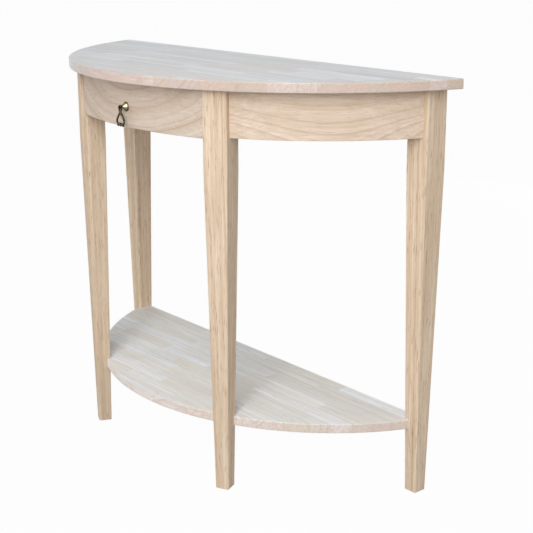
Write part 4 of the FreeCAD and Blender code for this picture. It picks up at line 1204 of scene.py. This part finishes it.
@dataclass
class Studio:
    """Pale floor, soft light and the camera."""

    floor_half: float = 40.0  # half its width
    floor_grey: float = 0.45  # how much light it throws back
    floor_rough: float = 0.9
    floor_white: float = 0.975  # how far it looks plain white, which leaves a soft shadow
    ambient: float = 0.15  # strength of the light from all round
    # A tall soft lamp beside the camera, and weak lamps on the other sides
    lamps: tuple[Lamp, ...] = (
        Lamp("key", (2.0, -2.35, 2.2), (1.6, 2.6), 92.0),
        Lamp("fill", (-1.8, -2.25, 0.9), (1.6, 1.0), 17.0, (0.0, 0.0, 0.35)),
        Lamp("window", (-1.75, 1.75, 1.6), (2.0, 2.0), 3.0),
        Lamp("ceiling", (0.65, -1.15, 3.0), (1.3, 1.3), 20.0, (0.0, 0.0, 0.3)),
        Lamp("side", (2.7, 1.1, 1.5), (1.5, 1.5), 10.0),
        Lamp("back", (-0.6, 2.6, 0.45), (1.6, 0.7), 11.0, (0.0, 0.1, 0.45)))
    camera_place: Point = (1.7986561, -1.3403706, 1.0105962)
    yaw: float = 0.9086  # from the front
    pitch: float = 0.2739  # downwards
    roll: float = 0.0133  # about the line of sight
    focus: float = 1181.9231  # focal length in pixels
    centre: Pair = (222.38, 257.9)  # pixel of the line of sight
    picture: float = 533.0  # its width in pixels
    sensor: float = 36.0  # its width in millimetres
    clip_end: float = 200.0

    @staticmethod
    def seen(sheet: Sheet) -> Socket:
        """Tells what the camera sees from what only throws light on the table.

        Args:
            sheet: The nodes to add to.

        Returns:
            1 for what is seen straight, in a reflection or through glass, and 0 for the rest.
        """
        path = sheet.add("ShaderNodeLightPath").outputs
        straight = sheet.math("MAXIMUM", path["Is Camera Ray"], path["Is Glossy Ray"])
        return sheet.math("MAXIMUM", straight, path["Is Transmission Ray"])

    def build_floor(self) -> None:
        """A pale square floor that keeps a soft shadow of the table and looks white elsewhere."""
        sheet, material, shader = Sheet.for_material("floor_paint")
        grey = self.floor_grey
        sheet.feed(shader, Base_Color=(grey, grey, grey, 1.0), Roughness=self.floor_rough,
                   Specular_IOR_Level=0.0)
        glow = sheet.add("ShaderNodeEmission")
        mix = sheet.feed(sheet.add("ShaderNodeMixShader"),
                         sheet.math("MULTIPLY", self.seen(sheet), self.floor_white),
                         shader.outputs[0], glow.outputs[0])
        sheet.feed(sheet.tree.nodes["Material Output"], mix.outputs[0])
        half = self.floor_half
        corners = [(-half, -half, 0), (half, -half, 0), (half, half, 0), (-half, half, 0)]
        mesh = bpy.data.meshes.new("floor")
        mesh.from_pydata(corners, [], [(0, 1, 2, 3)])
        mesh.materials.append(material)
        floor = bpy.data.objects.new("floor", mesh)
        bpy.context.scene.collection.objects.link(floor)

    def build_light(self) -> None:
        """Even light from all round, which the camera sees as white, and the lamps."""
        world = bpy.data.worlds.new("studio")
        bpy.context.scene.world = world
        world.use_nodes = True
        sheet = Sheet(world.node_tree)
        around = sheet.feed(sheet.tree.nodes["Background"], WHITE, self.ambient)
        white = sheet.feed(sheet.add("ShaderNodeBackground"), WHITE)
        mix = sheet.feed(sheet.add("ShaderNodeMixShader"), self.seen(sheet), around.outputs[0],
                         white.outputs[0])
        sheet.feed(sheet.tree.nodes["World Output"], mix.outputs[0])
        for lamp in self.lamps:
            lamp.build()

    def build_camera(self) -> None:
        """Camera at the photograph's place: right, up and back axes from yaw, pitch and roll."""
        sin, cos = math.sin, math.cos
        forward = Vector((-sin(self.yaw) * cos(self.pitch), cos(self.yaw) * cos(self.pitch),
                          -sin(self.pitch)))
        level = Vector((cos(self.yaw), sin(self.yaw), 0.0))
        down = forward.cross(level)
        right = level * cos(self.roll) + down * sin(self.roll)
        lower = down * cos(self.roll) - level * sin(self.roll)
        turned = Matrix((right, -lower, -forward)).transposed().to_4x4()
        camera = bpy.data.cameras.new("camera")
        camera.sensor_width = self.sensor
        camera.lens = self.focus / self.picture * self.sensor
        camera.shift_x = 0.5 - self.centre[0] / self.picture
        camera.shift_y = self.centre[1] / self.picture - 0.5
        camera.clip_end = self.clip_end
        made = bpy.data.objects.new("camera", camera)
        made.matrix_world = Matrix.Translation(self.camera_place) @ turned
        bpy.context.scene.collection.objects.link(made)
        bpy.context.scene.camera = made

    def build(self) -> None:
        """Builds the floor, light and camera."""
        bpy.context.scene.view_settings.view_transform = "Standard"
        self.build_floor()
        self.build_light()
        self.build_camera()


def main() -> None:
    """Builds the table's pieces and the studio."""
    logging.basicConfig(level=logging.INFO, format="%(name)s: %(message)s")
    effects = WoodEffects()
    boards = (
        HalfMoonBoard(node="top_panel", slot="top_wood", finish=Finish.TOP.value, seed=4.0,
                      radius=0.52, back=0.1865, upper=TOP_HEIGHT, rounding=0.0016),
        HalfMoonBoard(node="shelf_panel", slot="shelf_wood", finish=Finish.SHELF.value, seed=9.0,
                      radius=0.47305, back=0.1758, upper=SHELF_HEIGHT, rounding=0.0014,
                      end=0.43553),
        BowedBoard(node="apron_side_left", seed=2.0, side=-1),
        BowedBoard(node="apron_side_right", seed=7.0),
        DrawerFront(node="drawer_front", seed=12.0))
    for board in boards:
        board.dress(effects)
    Legs().dress(effects)
    InnerWork().dress(effects)
    DropPull().dress()
    Studio().build()


if __name__ == "__main__":
    main()
